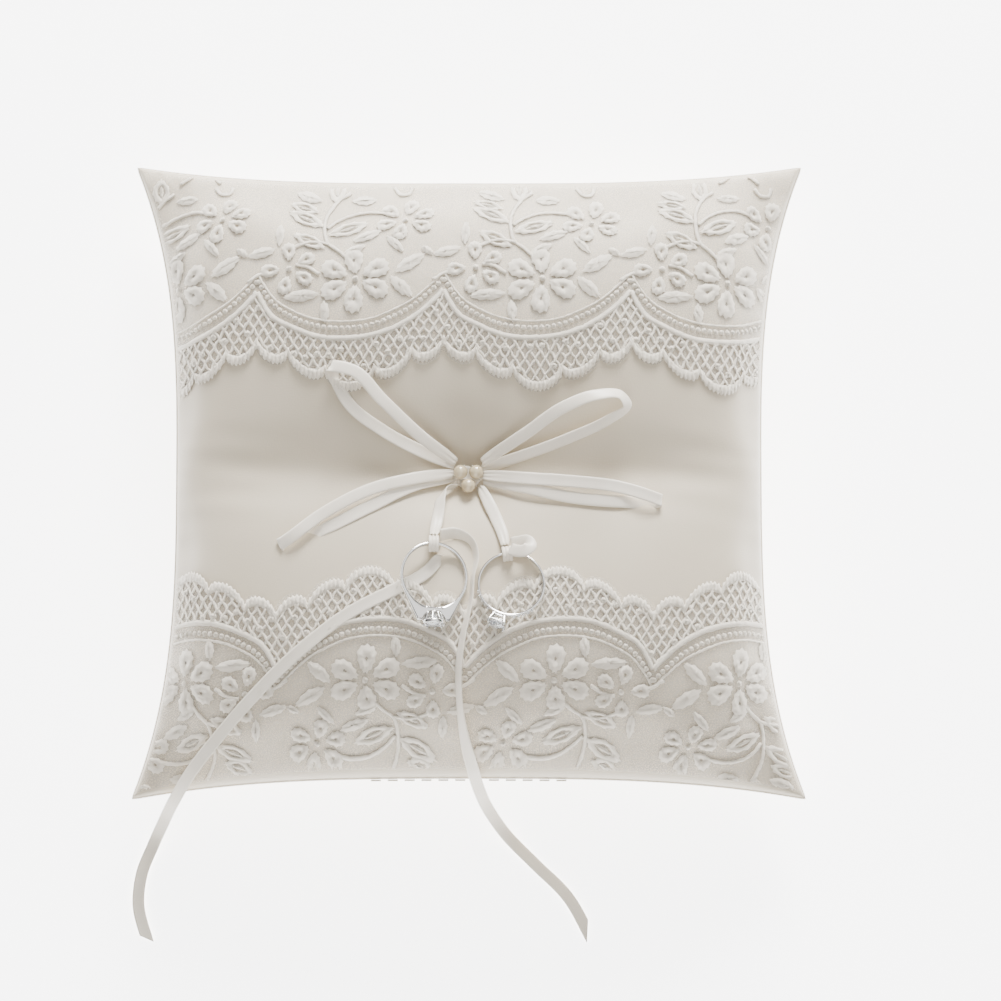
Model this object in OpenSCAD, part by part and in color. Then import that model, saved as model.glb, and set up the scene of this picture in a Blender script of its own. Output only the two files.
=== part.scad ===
// Ring bearer pillow: a soft satin cushion lying on its back, +Z up and +Y to its head end.
// The origin is at the middle of its footprint, on the table that it lies on.

/* [Cushion] */
// Width across the corners
cushion_w = 200; // [150:1:260]
// Depth across the corners, shortened by the middle fold
cushion_d = 190; // [150:1:250]
// How far each side edge pulls in at its middle
side_pull = 13; // [4:0.5:20]
// How far the head and foot edges pull in at their middle
end_pull = 6; // [2:0.5:14]
// Height of the edge seam above the table
seam_h = 22; // [16:0.5:30]
// How much lower the seam is at the four corners
ear_drop = 6; // [0:0.5:10]
// Rise of the front panel above the seam, before the fold
front_rise = 35; // [25:0.5:50]
// Fall of the back panel below the seam, before it meets the table
back_fall = 28; // [24:0.5:40]
// Depth of the fold that runs across the middle
fold_depth = 14; // [0:0.5:20]
// Half width of the fold
fold_reach = 58; // [40:1:70]
// Depth of the dimple under the pearls
dimple_depth = 5; // [0:0.5:8]
// Radius of the dimple
dimple_r = 11; // [6:0.5:20]
// Thickness of a satin panel with its lining
panel_t = 0.8; // [0.5:0.1:1.5]
// Air left between the lining and the filling
fill_gap = 0.9; // [0.3:0.1:1.5]

/* [Seam] */
// Thickness of the sewn edge
seam_t = 0.8; // [0.5:0.1:1.5]
// How far the sewn edge stands out of the outline
seam_out = 0.7; // [0.3:0.1:2]
// Hand stitches that close the foot edge
closing_count = 12; // [4:1:30]
// Spacing of those stitches
closing_pitch = 5; // [3:0.5:8]
// Diameter of the sewing thread
thread_d = 0.5; // [0.3:0.1:0.8]

/* [Lace trim] */
// Thickness of the embroidered trim
trim_t = 0.8; // [0.5:0.1:1.5]
// Air between the trim and the front panel
trim_gap = 0.8; // [0.6:0.1:1.5]
// Distance from the middle to the outermost scallops of the head trim
head_trim_y = 23; // [15:0.5:40]
// Distance from the middle to the outermost scallops of the foot trim
foot_trim_y = 29.5; // [15:0.5:40]
// Length of one repeat of the scalloped border
trim_repeat = 54; // [40:1:70]
// Where a repeat of the head trim starts
head_trim_x = -7; // [-27:0.5:27]
// Where a repeat of the foot trim starts
foot_trim_x = -1; // [-27:0.5:27]

/* [Ribbon] */
// Width of the satin ribbon
ribbon_w = 3.6; // [2.5:0.1:4.4]
// Thickness of the satin ribbon
ribbon_t = 0.4; // [0.2:0.1:0.6]
// Length of the ribbon wrapped round a ring
wrap_l = 3; // [2:0.1:4]
// Radius of the eye that a wrapped ribbon leaves for the ring
wrap_r = 1.7; // [1.5:0.1:2]
// Thickness of the wrapped ribbon
wrap_t = 0.5; // [0.3:0.1:0.8]

/* [Pearls] */
// Diameter of a pearl
pearl_d = 4.2; // [3:0.1:5]
// Gap between neighbouring pearls
pearl_gap = 0.4; // [0.3:0.1:1]
// Diameter of the hole through a pearl
pearl_hole_d = 0.9; // [0.6:0.1:1.2]
// Radius of the ribbon gathered under the pearls
gather_r = 4; // [3:0.1:5]
// Thickness of that gather
gather_t = 1.2; // [0.8:0.1:2]

/* [Solitaire ring] */
// Bore of the left ring
left_bore_d = 18.4; // [16:0.1:19.5]
// Radial thickness of its band
left_band_t = 0.8; // [0.6:0.05:1.1]
// Width of its band
left_band_w = 2; // [1.4:0.1:2.4]
// Half width of its shoulders at the setting
left_shoulder = 4.9; // [4.2:0.1:5.5]
// Radius of its round stone
left_stone_r = 3; // [2.2:0.1:3.4]
// Tilt of the ring, setting end up
left_tilt = 8; // [7:0.5:14]
// Turn of the ring, left side up
left_yaw = 16; // [8:0.5:18]

/* [Prong ring] */
// Bore of the right ring
right_bore_d = 18.2; // [16:0.1:19]
// Radial thickness of its band
right_band_t = 0.8; // [0.6:0.05:1.1]
// Width of its band
right_band_w = 1.6; // [1.4:0.1:2.2]
// Half size of its square head
right_head = 2.8; // [2:0.1:3.2]
// Diameter of one prong
prong_d = 0.8; // [0.6:0.05:1]
// Small stones on each shoulder
accent_count = 5; // [1:1:7]
// Diameter of a small stone
accent_d = 1.1; // [0.8:0.05:1.3]
// Tilt of the ring, head end up
right_tilt = 14; // [10:0.5:18]
// Turn of the head round the band from straight down
right_turn = -20; // [-30:1:0]

/* [Hidden] */

// Grid steps across and along a panel, and across and along a trim
panel_nx = 20;
panel_ny = 28;
fill_nx = 14;
fill_ny = 18;
trim_nx = 72;
trim_ny = 5;
seam_n = 72;
// Exponents of the outline and of the crown
ear_power = 3;
crown_power = 2.6;
crown_soft = 0.5;
// Small radius at the bottom of the fold, and how much of the fold fades at the side edges
fold_r = 3;
fold_fade = 0.5;
// How far in from the edge seam the trims and the filling stop, as the grid's own share
trim_end = 0.95;
trim_side = 0.965;
fill_end = 0.96;
// The border's small scallops in one repeat: [start, end, valley, valley, bulge], as shares of
// the repeat and then as depths in mm from the outermost scallop
scallops = [[0, 0.17, 13, 10, 3], [0.17, 0.37, 10, 4.7, 3], [0.37, 0.63, 4.7, 4.7, 4.7],
    [0.63, 0.83, 4.7, 10, 3], [0.83, 1, 10, 13, 3]];

// ---- the cushion's surfaces, for p and q from -1 to 1 across and along it ----
function half_w(q) = cushion_w / 2 - side_pull * (1 - pow(abs(q), ear_power));
function half_d(p) = cushion_d / 2 - end_pull * (1 - pow(abs(p), ear_power));
function plan(p, q) = [p * half_w(q), q * half_d(p)];
function crown(p, q) =
    pow(max(0, (1 - pow(abs(p), crown_power)) * (1 - pow(abs(q), crown_power))), crown_soft);
function seam_z(p, q) = seam_h - ear_drop * pow(p * q, 2);
function fold(p, y) = fold_depth * (1 - fold_fade * p * p)
    * pow(max(0, 1 - sqrt(y * y + fold_r * fold_r) / fold_reach), 1.5);
function dimple(xy) = dimple_depth * exp(-(xy * xy) / (dimple_r * dimple_r));
function front_z(p, q) = let (xy = plan(p, q)) seam_z(p, q) + seam_t / 2 + panel_t
    + crown(p, q) * (front_rise - fold(p, xy[1]) - dimple(xy));
function back_z(p, q) = max(0, dimple(plan(p, q)) - dimple_depth / 10,
    seam_z(p, q) - seam_t / 2 - panel_t - crown(p, q) * back_fall);
function front(p, q, lift) = concat(plan(p, q), front_z(p, q) + lift);
function back(p, q, lift) = concat(plan(p, q), back_z(p, q) + lift);

// The front surface's height over a plan point, found by closing in on its p and q
function settle(x, y, p, q, n) = n == 0 ? [p, q] : settle(x, y, x / half_w(q), y / half_d(p), n - 1);
function front_at(x, y) = let (s = settle(x, y, x * 2 / cushion_w, y * 2 / cushion_d, 8))
    front_z(s[0], s[1]);

// Steps from -reach to reach, closer together near the ends
function steps(n, reach) = [for (i = [0:n]) reach * sin(90 * (2 * i / n - 1))];

// ---- solids made of points ----
// An upper and a lower grid of (nx + 1) by (ny + 1) points, closed round their four sides
module grid_solid(upper, lower, nx, ny) {
    row = ny + 1;
    size = (nx + 1) * row;
    rim = concat([for (i = [0:nx - 1]) i * row], [for (j = [0:ny - 1]) nx * row + j],
        [for (i = [0:nx - 1]) (nx - i) * row + ny], [for (j = [0:ny - 1]) ny - j]);
    over = [for (i = [0:nx - 1], j = [0:ny - 1], h = [0, 1])
        let (a = i * row + j) h == 0 ? [a, a + 1, a + row + 1] : [a, a + row + 1, a + row]];
    under = [for (f = over) [f[2] + size, f[1] + size, f[0] + size]];
    sides = [for (k = [0:len(rim) - 1], h = [0, 1])
        let (a = rim[k], b = rim[(k + 1) % len(rim)])
        h == 0 ? [a, b, b + size] : [a, b + size, a + size]];
    polyhedron(concat(upper, lower), concat(over, under, sides));
}

// A ribbon along a route of [x, y, z, bearing of its width, rise of its width]
function unit(v) = v / norm(v);
function across(t, bearing, rise) = let (w = [cos(bearing) * cos(rise), sin(bearing) * cos(rise), sin(rise)])
    unit(w - (w * t) * t);
function ribbon_ring(at, t, w, width) = let (n = cross(w, t), a = width / 2, b = width / 2 - 0.3)
    [for (s = [[a, 0.25], [b, 0.5], [-b, 0.5], [-a, 0.25], [-a, -0.25], [-b, -0.5], [b, -0.5], [a, -0.25]])
        at + s[0] * w + s[1] * ribbon_t * n];
module ribbon(route, narrow) {
    last = len(route) - 1;
    at = [for (r = route) [r[0], r[1], r[2]]];
    points = [for (i = [0:last])
        let (t = unit(at[min(i + 1, last)] - at[max(i - 1, 0)]),
            w = across(t, route[i][3], route[i][4]))
        each ribbon_ring(at[i], t, w, i < 1 || i == last ? narrow : ribbon_w)];
    polyhedron(points, concat(
        [[for (k = [0:7]) 7 - k], [for (k = [0:7]) last * 8 + k]],
        [for (i = [0:last - 1], k = [0:7], h = [0, 1]) let (a = i * 8 + k, b = i * 8 + (k + 1) % 8)
            h == 0 ? [a, b + 8, a + 8] : [a, b, b + 8]]));
}

// ---- the cushion ----
module front_panel() {
    ps = steps(panel_nx, 1);
    qs = steps(panel_ny, 1);
    color("ivory") grid_solid([for (p = ps, q = qs) front(p, q, 0)],
        [for (p = ps, q = qs) front(p, q, -panel_t)], panel_nx, panel_ny);
}

module back_panel() {
    ps = steps(panel_nx, 1);
    qs = steps(panel_ny, 1);
    color("ivory") grid_solid([for (p = ps, q = qs) back(p, q, panel_t)],
        [for (p = ps, q = qs) back(p, q, 0)], panel_nx, panel_ny);
}

module fibre_filling() {
    ps = steps(fill_nx, fill_end);
    qs = steps(fill_ny, fill_end);
    lift = panel_t + fill_gap;
    color("white") grid_solid([for (p = ps, q = qs) front(p, q, -lift)],
        [for (p = ps, q = qs) back(p, q, lift)], fill_nx, fill_ny);
}

// A thin flange all round the outline, between the two panels' edges
module edge_seam() {
    inner = 1 - 2 * seam_out / cushion_w * 2;
    outer = 1 + 2 * seam_out / cushion_w;
    quarter = [for (i = [0:seam_n / 4 - 1]) 2 * i / (seam_n / 4) - 1];
    rim = concat([for (s = quarter) [s, -1]], [for (s = quarter) [1, s]],
        [for (s = quarter) [-s, 1]], [for (s = quarter) [-1, -s]]);
    t = seam_t * 0.4;
    points = [for (r = rim) let (xy = plan(r[0], r[1]), z = seam_z(r[0], r[1]))
        each [concat(xy * inner, z - t), concat(xy * outer, z - t),
            concat(xy * outer, z + t), concat(xy * inner, z + t)]];
    color("ivory") polyhedron(points, [for (i = [0:seam_n - 1], k = [0:3])
        let (j = (i + 1) % seam_n) [i * 4 + k, i * 4 + (k + 1) % 4, j * 4 + (k + 1) % 4, j * 4 + k]]);
}

module closing_stitches() {
    span = closing_count * closing_pitch;
    color("white") for (i = [0:closing_count - 1]) {
        x = (i + 0.5) * closing_pitch - span / 2;
        y = -half_d(2 * x / cushion_w) * (1 + 2 * seam_out / cushion_w) - thread_d / 2;
        translate([x, y, seam_h]) rotate([0, 90, 0])
            cylinder(h = closing_pitch * 0.6, d = thread_d, center = true, $fn = 16);
    }
}

// ---- the lace trims: turn is 1 at the head end and -1 at the foot end ----
function border(u) = let (s = [for (a = scallops) if (u >= a[0] && u <= a[1]) a][0],
    f = (u - s[0]) / (s[1] - s[0]))
    s[2] + (s[3] - s[2]) * f - s[4] * sin(180 * f);
function free_edge(x, turn) = let (start = turn > 0 ? head_trim_x : foot_trim_x,
    u = (start - x) * turn / trim_repeat)
    (turn > 0 ? head_trim_y : foot_trim_y) + border(u - floor(u));
module lace_trim(turn) {
    ps = [for (i = [0:trim_nx]) trim_side * (2 * i / trim_nx - 1)];
    strip = [for (p = ps) let (q0 = free_edge(turn * p * half_w(0.4), turn) / half_d(p))
        for (j = [0:trim_ny]) let (q = q0 + (trim_end - q0) * sin(90 * j / trim_ny))
            turn > 0 ? [p, q] : [-p, -q]];
    color("white") grid_solid([for (s = strip) front(s[0], s[1], trim_gap + trim_t)],
        [for (s = strip) front(s[0], s[1], trim_gap)], trim_nx, trim_ny);
}
module lace_trim_head() lace_trim(1);
module lace_trim_foot() lace_trim(-1);

// ---- the bow: loops of ribbon that leave the gather and come back to it ----
upper_left_route = [[-4, 1.6, 44, 70, 0], [-12, 4.6, 47.2, 65, 0], [-25, 11.2, 49.8, 62, 0],
    [-35, 19, 51.8, 58, 0], [-39.6, 27.6, 53.6, 55, 0], [-40.4, 29, 55, 55, 0],
    [-34, 28.2, 56.8, 52, 0], [-25, 19.4, 56.6, 52, 0], [-13, 8.6, 51.6, 52, 0], [-3.6, 2.4, 44.8, 60, 0]];
lower_left_route = [[-4.2, -1.8, 43, 100, 0], [-15, -4.4, 47.4, 105, 0], [-28, -10.8, 49.8, 115, 0],
    [-42, -17.8, 50.6, 117, 0], [-54, -22.4, 49.2, 114, 0], [-55.2, -22.4, 50, 117, 0],
    [-54, -21.8, 50.9, 120, 0], [-42, -13.2, 51.8, 118, 0], [-28, -6, 50.6, 115, 0],
    [-15, -2.6, 48.4, 100, 0], [-4.2, -0.8, 44.2, 95, 0]];
upper_right_route = [[4, 0.6, 43.2, 100, 20], [16, 4, 48, 112, 30], [30, 9, 50.8, 113, 35],
    [41, 14, 52, 125, 42], [46.5, 17.8, 54, 180, 50], [44.5, 20.8, 57.2, 245, 45],
    [37, 20.4, 59.8, 290, 20], [28, 17, 59, 300, 0], [17, 10, 54, 305, 0], [4, 2.4, 45.2, 300, 0]];
lower_right_route = [[4.4, -2.8, 44, 80, 0], [17, -5.6, 49, 78, 0], [30, -8.4, 49.6, 83, 0],
    [44, -9.6, 49, 86, 0], [55.4, -9.4, 47, 88, 0], [56.6, -9.2, 47.8, 84, 0],
    [55.4, -8.8, 48.6, 80, 0], [44, -5.4, 49.8, 84, 0], [30, -3.8, 50.4, 88, 0],
    [17, -2.8, 49.4, 88, 0], [4.4, -1.4, 45, 85, 0]];
left_strand_route = [[-3.4, -4.4, 44.2, 40, 60], [-6.4, -5.6, 47.2, 60, 60], [-8, -8.6, 49.4, 10, 40],
    [-8.6, -12.5, 51, 0, 20], [-9.2, -16.5, 53.2, 0, 0], [-10, -20, 56.6, 0, 0]];
right_strand_route = [[3.4, -4.8, 44.2, 20, 30], [6, -10, 48.4, 20, 10], [8.4, -15.2, 50.8, 20, 0],
    [10.4, -20.6, 53.4, 15, 0], [10.8, -22.8, 54.4, 0, 0]];
left_tail_route = [[-7.6, -25.8, 54.2, 45, 0], [-12.4, -31.2, 55.2, 120, 0], [-19.8, -35.2, 55.8, 118, 0],
    [-34.6, -42.8, 55.2, 125, 0], [-49.5, -54, 52, 132, 0], [-64.6, -68.4, 44.6, 136, 0],
    [-73, -77.6, 38.8, 140, 0], [-81, -87, 32, 145, 0], [-87, -95.4, 22, 148, 0],
    [-91.4, -102, 9, 152, 0], [-95, -108.6, 1.6, 158, 0], [-98.4, -117, 0.6, 168, 0],
    [-99.4, -126, 0.6, 180, 0], [-96.4, -138, 0.6, 192, 0]];
right_tail_route = [[-8.2, -20, 54.4, 90, 20], [-3.6, -19.4, 53, 90, 30], [0.8, -21.8, 53.6, 60, 50],
    [2.2, -26.4, 54.6, 0, 60], [1.3, -32, 55.8, 0, 70], [0.8, -38.6, 56.8, 0, 70],
    [-1.4, -48.5, 57.8, 0, 60], [-2.8, -59, 56.2, 0, 60], [-2.4, -70, 51.6, 0, 60],
    [-0.8, -80, 44.8, 10, 40], [1.2, -87, 36.6, 20, 20], [3.2, -93, 24, 25, 10],
    [6.6, -99.4, 10, 30, 0], [11.6, -106, 2, 35, 0], [20, -114.4, 0.6, 45, 0],
    [29.6, -124, 0.6, 50, 0], [37, -137, 0.6, 30, 0]];
knot_loop_route = [[12.2, -24.2, 57.4, 60, 0], [14.2, -25.4, 58.8, 80, 0], [16.4, -25.2, 59.6, 95, 0],
    [17.6, -23, 59.2, 160, 0], [17, -20.4, 56.8, 230, 0], [13, -21.2, 54.2, 270, 0]];

module bow_loop_upper_left() color("ivory") ribbon(upper_left_route, ribbon_w);
module bow_loop_lower_left() color("ivory") ribbon(lower_left_route, ribbon_w);
module bow_loop_upper_right() color("ivory") ribbon(upper_right_route, ribbon_w);
module bow_loop_lower_right() color("ivory") ribbon(lower_right_route, ribbon_w);
module ribbon_strand_left() color("ivory") ribbon(left_strand_route, 2);
module ribbon_strand_right() color("ivory") ribbon(right_strand_route, 2);
module ribbon_tail_left() color("ivory") ribbon(left_tail_route, 2);
module ribbon_tail_right() color("ivory") ribbon(right_tail_route, 2);
module ribbon_knot_loop() color("ivory") ribbon(knot_loop_route, 2);

// ---- the pearls, on the gathered middle of the bow ----
gather_z = front_at(0, 0) + dimple_depth / 4 + trim_gap;
pearl_z = gather_z + gather_t + pearl_d / 2;
pearl_mid = [0, -1.9];
pearl_pitch = pearl_d + pearl_gap;
function pearl_xy(k) = pearl_mid + pearl_pitch / sqrt(3) * [cos(150 - 120 * k), sin(150 - 120 * k)];

module bow_gather() color("ivory") translate([pearl_mid[0], pearl_mid[1], gather_z]) rotate_extrude($fn = 48)
    polygon([[0, 0], [gather_r - 0.6, 0], [gather_r, gather_t / 2], [gather_r - 0.6, gather_t],
        [0, gather_t]]);

// Each pearl's hole runs across the line from the middle of the three
module pearl_place(k) translate(concat(pearl_xy(k), pearl_z)) rotate([0, 90, 60 - 120 * k]) children();
module pearl(k) color("#efe6d2") pearl_place(k) difference() {
    sphere(d = pearl_d, $fn = 48);
    cylinder(h = pearl_d * 2, d = pearl_hole_d, center = true, $fn = 24);
}
module pearl_left() pearl(0);
module pearl_right() pearl(1);
module pearl_foot() pearl(2);

// A stitch through each pearl, down on both sides into the gather
module pearl_stitches() color("white") for (k = [0:2]) {
    reach = pearl_d / 2 + thread_d;
    pearl_place(k) {
        cylinder(h = 2 * reach, d = thread_d, center = true, $fn = 16);
        for (s = [-1, 1]) translate([0, 0, s * reach]) {
            sphere(d = thread_d, $fn = 16);
            rotate([0, 90, 0]) cylinder(h = pearl_d / 2 - 0.05, d = thread_d, $fn = 16);
        }
    }
}

// The thread that pulls the bow down through the filling, with its knot in the back dimple
module tufting_thread() {
    knot_z = dimple_depth / 2;
    color("white") translate([pearl_mid[0], pearl_mid[1], 0]) {
        translate([0, 0, knot_z]) cylinder(h = gather_z - knot_z, d = thread_d, $fn = 16);
        translate([0, 0, knot_z]) sphere(d = 4 * thread_d, $fn = 24);
    }
}

// ---- the rings; each is drawn with its own axis along Z and its setting towards -Y ----
// The ribbon holds each ring at its tie, and the joint's axis passes through it along X
left_tie = [-9.9, -22.7, 56.46];
right_tie = [11.44, -25.45, 54.32];
tie_angle = 97; // place of the right ring's tie round its bore
left_mid_r = (left_bore_d + left_band_t) / 2;
right_mid_r = (right_bore_d + right_band_t) / 2;
left_centre = left_tie - left_mid_r * [0, cos(left_tilt), -sin(left_tilt)];
right_centre = right_tie - right_mid_r * [cos(tie_angle), sin(tie_angle) * cos(right_tilt),
    -sin(tie_angle) * sin(right_tilt)];

module left_ring() translate(left_centre) rotate([-left_tilt, 0, 0]) rotate([0, left_yaw, 0]) children();
module right_ring() translate(right_centre)
    rotate([-right_tilt, 0, 0]) rotate([0, 0, right_turn]) children();

module band(bore_d, t, w) rotate_extrude($fn = 96) translate([bore_d / 2, 0])
    polygon([[0, -w / 2 + 0.2], [0.15, -w / 2], [t - 0.25, -w / 2], [t, -w / 2 + 0.3],
        [t, w / 2 - 0.3], [t - 0.25, w / 2], [0.15, w / 2], [0, w / 2 - 0.2]]);

// Cathedral shoulders: they run straight from the band's sides down to the setting
left_seat_y = left_bore_d / 2 + 4.1;
module left_ring_band() color("silver") left_ring() {
    band(left_bore_d, left_band_t, left_band_w);
    difference() {
        linear_extrude(left_band_w, center = true) polygon([
            [-left_bore_d / 2 - 0.3, -3.6], [-left_shoulder, -left_seat_y],
            [left_shoulder, -left_seat_y], [left_bore_d / 2 + 0.3, -3.6]]);
        cylinder(h = 2 * left_band_w, d = left_bore_d + 0.4, center = true, $fn = 96);
        translate([0, -left_seat_y - 1, 0])
            cylinder(h = 2 * left_band_w, r = left_stone_r + 0.6, center = true, $fn = 48);
    }
}

// A round bezel with four claws, standing on the shoulders' feet
module left_ring_setting() color("silver") left_ring()
    translate([0, -left_seat_y - 0.6, 0]) rotate([90, 0, 0]) {
    rotate_extrude($fn = 64) translate([left_stone_r + 0.1, 0])
        polygon([[0, -0.6], [0.6, -0.6], [0.6, 0.4], [0.3, 0.6], [0, 0.6]]);
    for (a = [45:90:315]) rotate([0, 0, a]) translate([left_stone_r + 0.4, 0, -0.6])
        cylinder(h = 2, d = prong_d, $fn = 20);
}

module cut_stone(r, sides) {
    cylinder(h = r * 0.35, r1 = r, r2 = r * 0.6, $fn = sides);
    translate([0, 0, -r * 0.86]) cylinder(h = r * 0.86, r1 = 0.02, r2 = r, $fn = sides);
}
module left_ring_stone() color("#e8f0f4") left_ring()
    translate([0, -left_seat_y - 0.4, 0]) rotate([90, 0, 0]) cut_stone(left_stone_r, 12);

module right_ring_band() color("silver") right_ring() difference() {
    band(right_bore_d, right_band_t, right_band_w);
    for (k = [0:accent_count - 1], s = [-1, 1]) accent_place(k, s)
        cylinder(h = accent_d, d = accent_d + 0.02, center = true, $fn = 24);
}

// Small stones sit in round seats, outward on each shoulder
module accent_place(k, s) rotate([0, 0, s * (24 + 8.2 * k)])
    translate([0, -right_bore_d / 2 - right_band_t, 0]) rotate([90, 0, 0]) children();
module right_ring_accents() color("#e8f0f4") right_ring()
    for (k = [0:accent_count - 1], s = [-1, 1]) accent_place(k, s)
        translate([0, 0, -accent_d * 0.3])
            cylinder(h = accent_d * 0.45, r1 = accent_d * 0.42, r2 = accent_d * 0.25, $fn = 8);

// Two square rails and four claws that lean outwards
head_y = right_bore_d / 2 + right_band_t;
module right_ring_head() color("silver") right_ring() translate([0, -head_y, 0]) rotate([90, 0, 0]) {
    for (rail = [[0.4, 0.72], [2.1, 0.96]]) translate([0, 0, rail[0]]) linear_extrude(0.5) difference() {
        square(2 * right_head * rail[1], center = true);
        square(2 * right_head * rail[1] - 1, center = true);
    }
    for (x = [-1, 1], y = [-1, 1])
        translate([x * right_head * 0.5, y * right_head * 0.5, -0.3])
            rotate([-y * 17, x * 17, 0]) cylinder(h = 4.4, d = prong_d, $fn = 20);
}
module right_ring_stone() color("#e8f0f4") right_ring()
    translate([0, -head_y - 3, 0]) rotate([90, 0, 0]) rotate([0, 0, 22.5]) cut_stone(right_head * 0.85, 8);

// ---- the ribbon wrapped round each ring, with an eye that the ring turns in ----
module wrap(bore_r, turn) rotate([0, 90, turn]) rotate_extrude($fn = 48) translate([bore_r, 0])
    polygon([[0, -wrap_l / 2 + 0.2], [0.2, -wrap_l / 2], [wrap_t, -wrap_l / 2 + 0.3],
        [wrap_t, wrap_l / 2 - 0.3], [0.2, wrap_l / 2], [0, wrap_l / 2 - 0.2]]);
module ribbon_wrap_left() color("ivory") translate(left_tie) wrap(wrap_r + 0.2, 0);
module ribbon_wrap_right() color("ivory") translate(right_tie) wrap(wrap_r, tie_angle - 90);

front_panel();
back_panel();
fibre_filling();
edge_seam();
closing_stitches();
lace_trim_head();
lace_trim_foot();
bow_loop_upper_left();
bow_loop_lower_left();
bow_loop_upper_right();
bow_loop_lower_right();
bow_gather();
pearl_left();
pearl_right();
pearl_foot();
pearl_stitches();
tufting_thread();
ribbon_strand_left();
ribbon_wrap_left();
ribbon_tail_left();
ribbon_tail_right();
ribbon_strand_right();
ribbon_wrap_right();
ribbon_knot_loop();
left_ring_band();
left_ring_setting();
left_ring_stone();
right_ring_band();
right_ring_head();
right_ring_stone();
right_ring_accents();
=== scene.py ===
# Ring bearer pillow: a stuffed satin cushion with two lace trims, a ribbon bow held by three
# pearls, and two finger rings tied on with the bow's ribbon. Built in mm, +Z up, +Y to its head.
import math
import bmesh
import bpy
import numpy as np
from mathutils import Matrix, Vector


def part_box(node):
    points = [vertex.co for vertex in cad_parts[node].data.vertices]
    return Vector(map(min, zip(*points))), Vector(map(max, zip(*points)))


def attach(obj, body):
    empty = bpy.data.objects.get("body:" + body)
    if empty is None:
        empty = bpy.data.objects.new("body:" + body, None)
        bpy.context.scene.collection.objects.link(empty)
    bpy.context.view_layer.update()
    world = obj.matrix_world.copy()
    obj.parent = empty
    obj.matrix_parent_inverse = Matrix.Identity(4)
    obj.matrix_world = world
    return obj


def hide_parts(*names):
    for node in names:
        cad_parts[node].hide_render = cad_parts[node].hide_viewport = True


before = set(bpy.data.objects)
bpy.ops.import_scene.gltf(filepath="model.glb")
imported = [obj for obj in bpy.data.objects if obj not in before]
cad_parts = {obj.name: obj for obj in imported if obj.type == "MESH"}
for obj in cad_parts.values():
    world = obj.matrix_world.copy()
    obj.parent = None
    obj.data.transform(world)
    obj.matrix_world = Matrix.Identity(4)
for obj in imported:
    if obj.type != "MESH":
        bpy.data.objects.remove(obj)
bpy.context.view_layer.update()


# ---------------------------------------------------------------------------------------------
# The studio: a long lens that looks almost straight down, a soft lamp low behind the head end, a
# wide one high to the right, a weak one over the foot, and a sky that is dark near the ground.
LENS_MM = 155.9
CAMERA_ELEVATION = 84.0
CAMERA_DISTANCE = 1.30
CAMERA_AIM = Vector((0.00945, -0.0059, 0.0164))

tilt = math.radians(CAMERA_ELEVATION)
backwards = Vector((0, -math.cos(tilt), math.sin(tilt)))
lens = bpy.data.cameras.new("studio_camera")
lens.lens = LENS_MM
camera = bpy.data.objects.new("studio_camera", lens)
camera.location = CAMERA_AIM + backwards * CAMERA_DISTANCE
camera.rotation_mode = "QUATERNION"
camera.rotation_quaternion = (-backwards).to_track_quat("-Z", "Y")
bpy.context.scene.collection.objects.link(camera)
bpy.context.scene.camera = camera


def soft_lamp(name, place, width, watts):
    """A square area lamp of that width, aimed at the middle of the cushion; metres and watts."""
    lamp = bpy.data.lights.new(name, "AREA")
    lamp.size = width
    lamp.energy = watts
    obj = bpy.data.objects.new(name, lamp)
    obj.location = place
    obj.rotation_mode = "QUATERNION"
    obj.rotation_quaternion = (Vector((0, 0, 0.03)) - Vector(place)).to_track_quat("-Z", "Y")
    bpy.context.scene.collection.objects.link(obj)


soft_lamp("head_lamp", (0.2, 1.4, 0.62), 0.6, 80)
soft_lamp("top_lamp", (0.5, 0.5, 2.0), 2.4, 26)
soft_lamp("foot_lamp", (-0.1, -1.4, 1.0), 1.2, 18)


def add(tree, kind, values=None, links=None, **settings):
    """Adds one shader node with its settings, the values on its sockets and the links into it."""
    made = tree.nodes.new("ShaderNode" + kind)
    for key, value in settings.items():
        setattr(made, key, value)
    for key, value in (values or {}).items():
        made.inputs[key].default_value = value
    for key, source in (links or {}).items():
        tree.links.new(source, made.inputs[key])
    return made


world = bpy.data.worlds.new("studio")
world.use_nodes = True
sky = world.node_tree
direction = add(sky, "TexCoord")
height = add(sky, "SeparateXYZ", None, {"Vector": direction.outputs["Generated"]})
ramp = add(sky, "ValToRGB", None, {"Fac": height.outputs["Z"]})
stops = ramp.color_ramp.elements
stops[0].position, stops[0].color = 0.15, (0.06, 0.06, 0.065, 1)
stops[1].position, stops[1].color = 0.7, (1, 1, 1, 1)
glow = sky.nodes["Background"]
glow.inputs["Strength"].default_value = 0.4
sky.links.new(ramp.outputs["Color"], glow.inputs["Color"])
bpy.context.scene.world = world


# ---------------------------------------------------------------------------------------------
# The ribbon: double-faced satin, 3.6 mm wide. Its bow, the two strands that hold the rings, the
# small loop of the right knot and the two long tails are each one flat stretch of it.
MM = 0.001
RIBBON_W = 3.6
RIBBON_T = 0.26
RIBBON_STEP = 0.6
SECTION_POINTS = 9
CUPPING = 0.12
PLEAT_RISE, PLEAT_WAVES, PINCH_FADE = 0.9, 1.25, 3.0


def colour(code):
    """The linear colour of an sRGB hex code."""
    srgb = np.array([int(code[i:i + 2], 16) for i in (0, 2, 4)]) / 255
    linear = np.where(srgb < 0.04045, srgb / 12.92, ((srgb + 0.055) / 1.055) ** 2.4)
    return (*[float(c) for c in linear], 1.0)


def finish_material(name, **sockets):
    """A new material whose shader has these constant values; returns it with its tree and shader."""
    made = bpy.data.materials.new(name)
    made.use_nodes = True
    shader = made.node_tree.nodes["Principled BSDF"]
    for key, value in sockets.items():
        shader.inputs[key.replace("_", " ")].default_value = value
    return made, made.node_tree, shader


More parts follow.
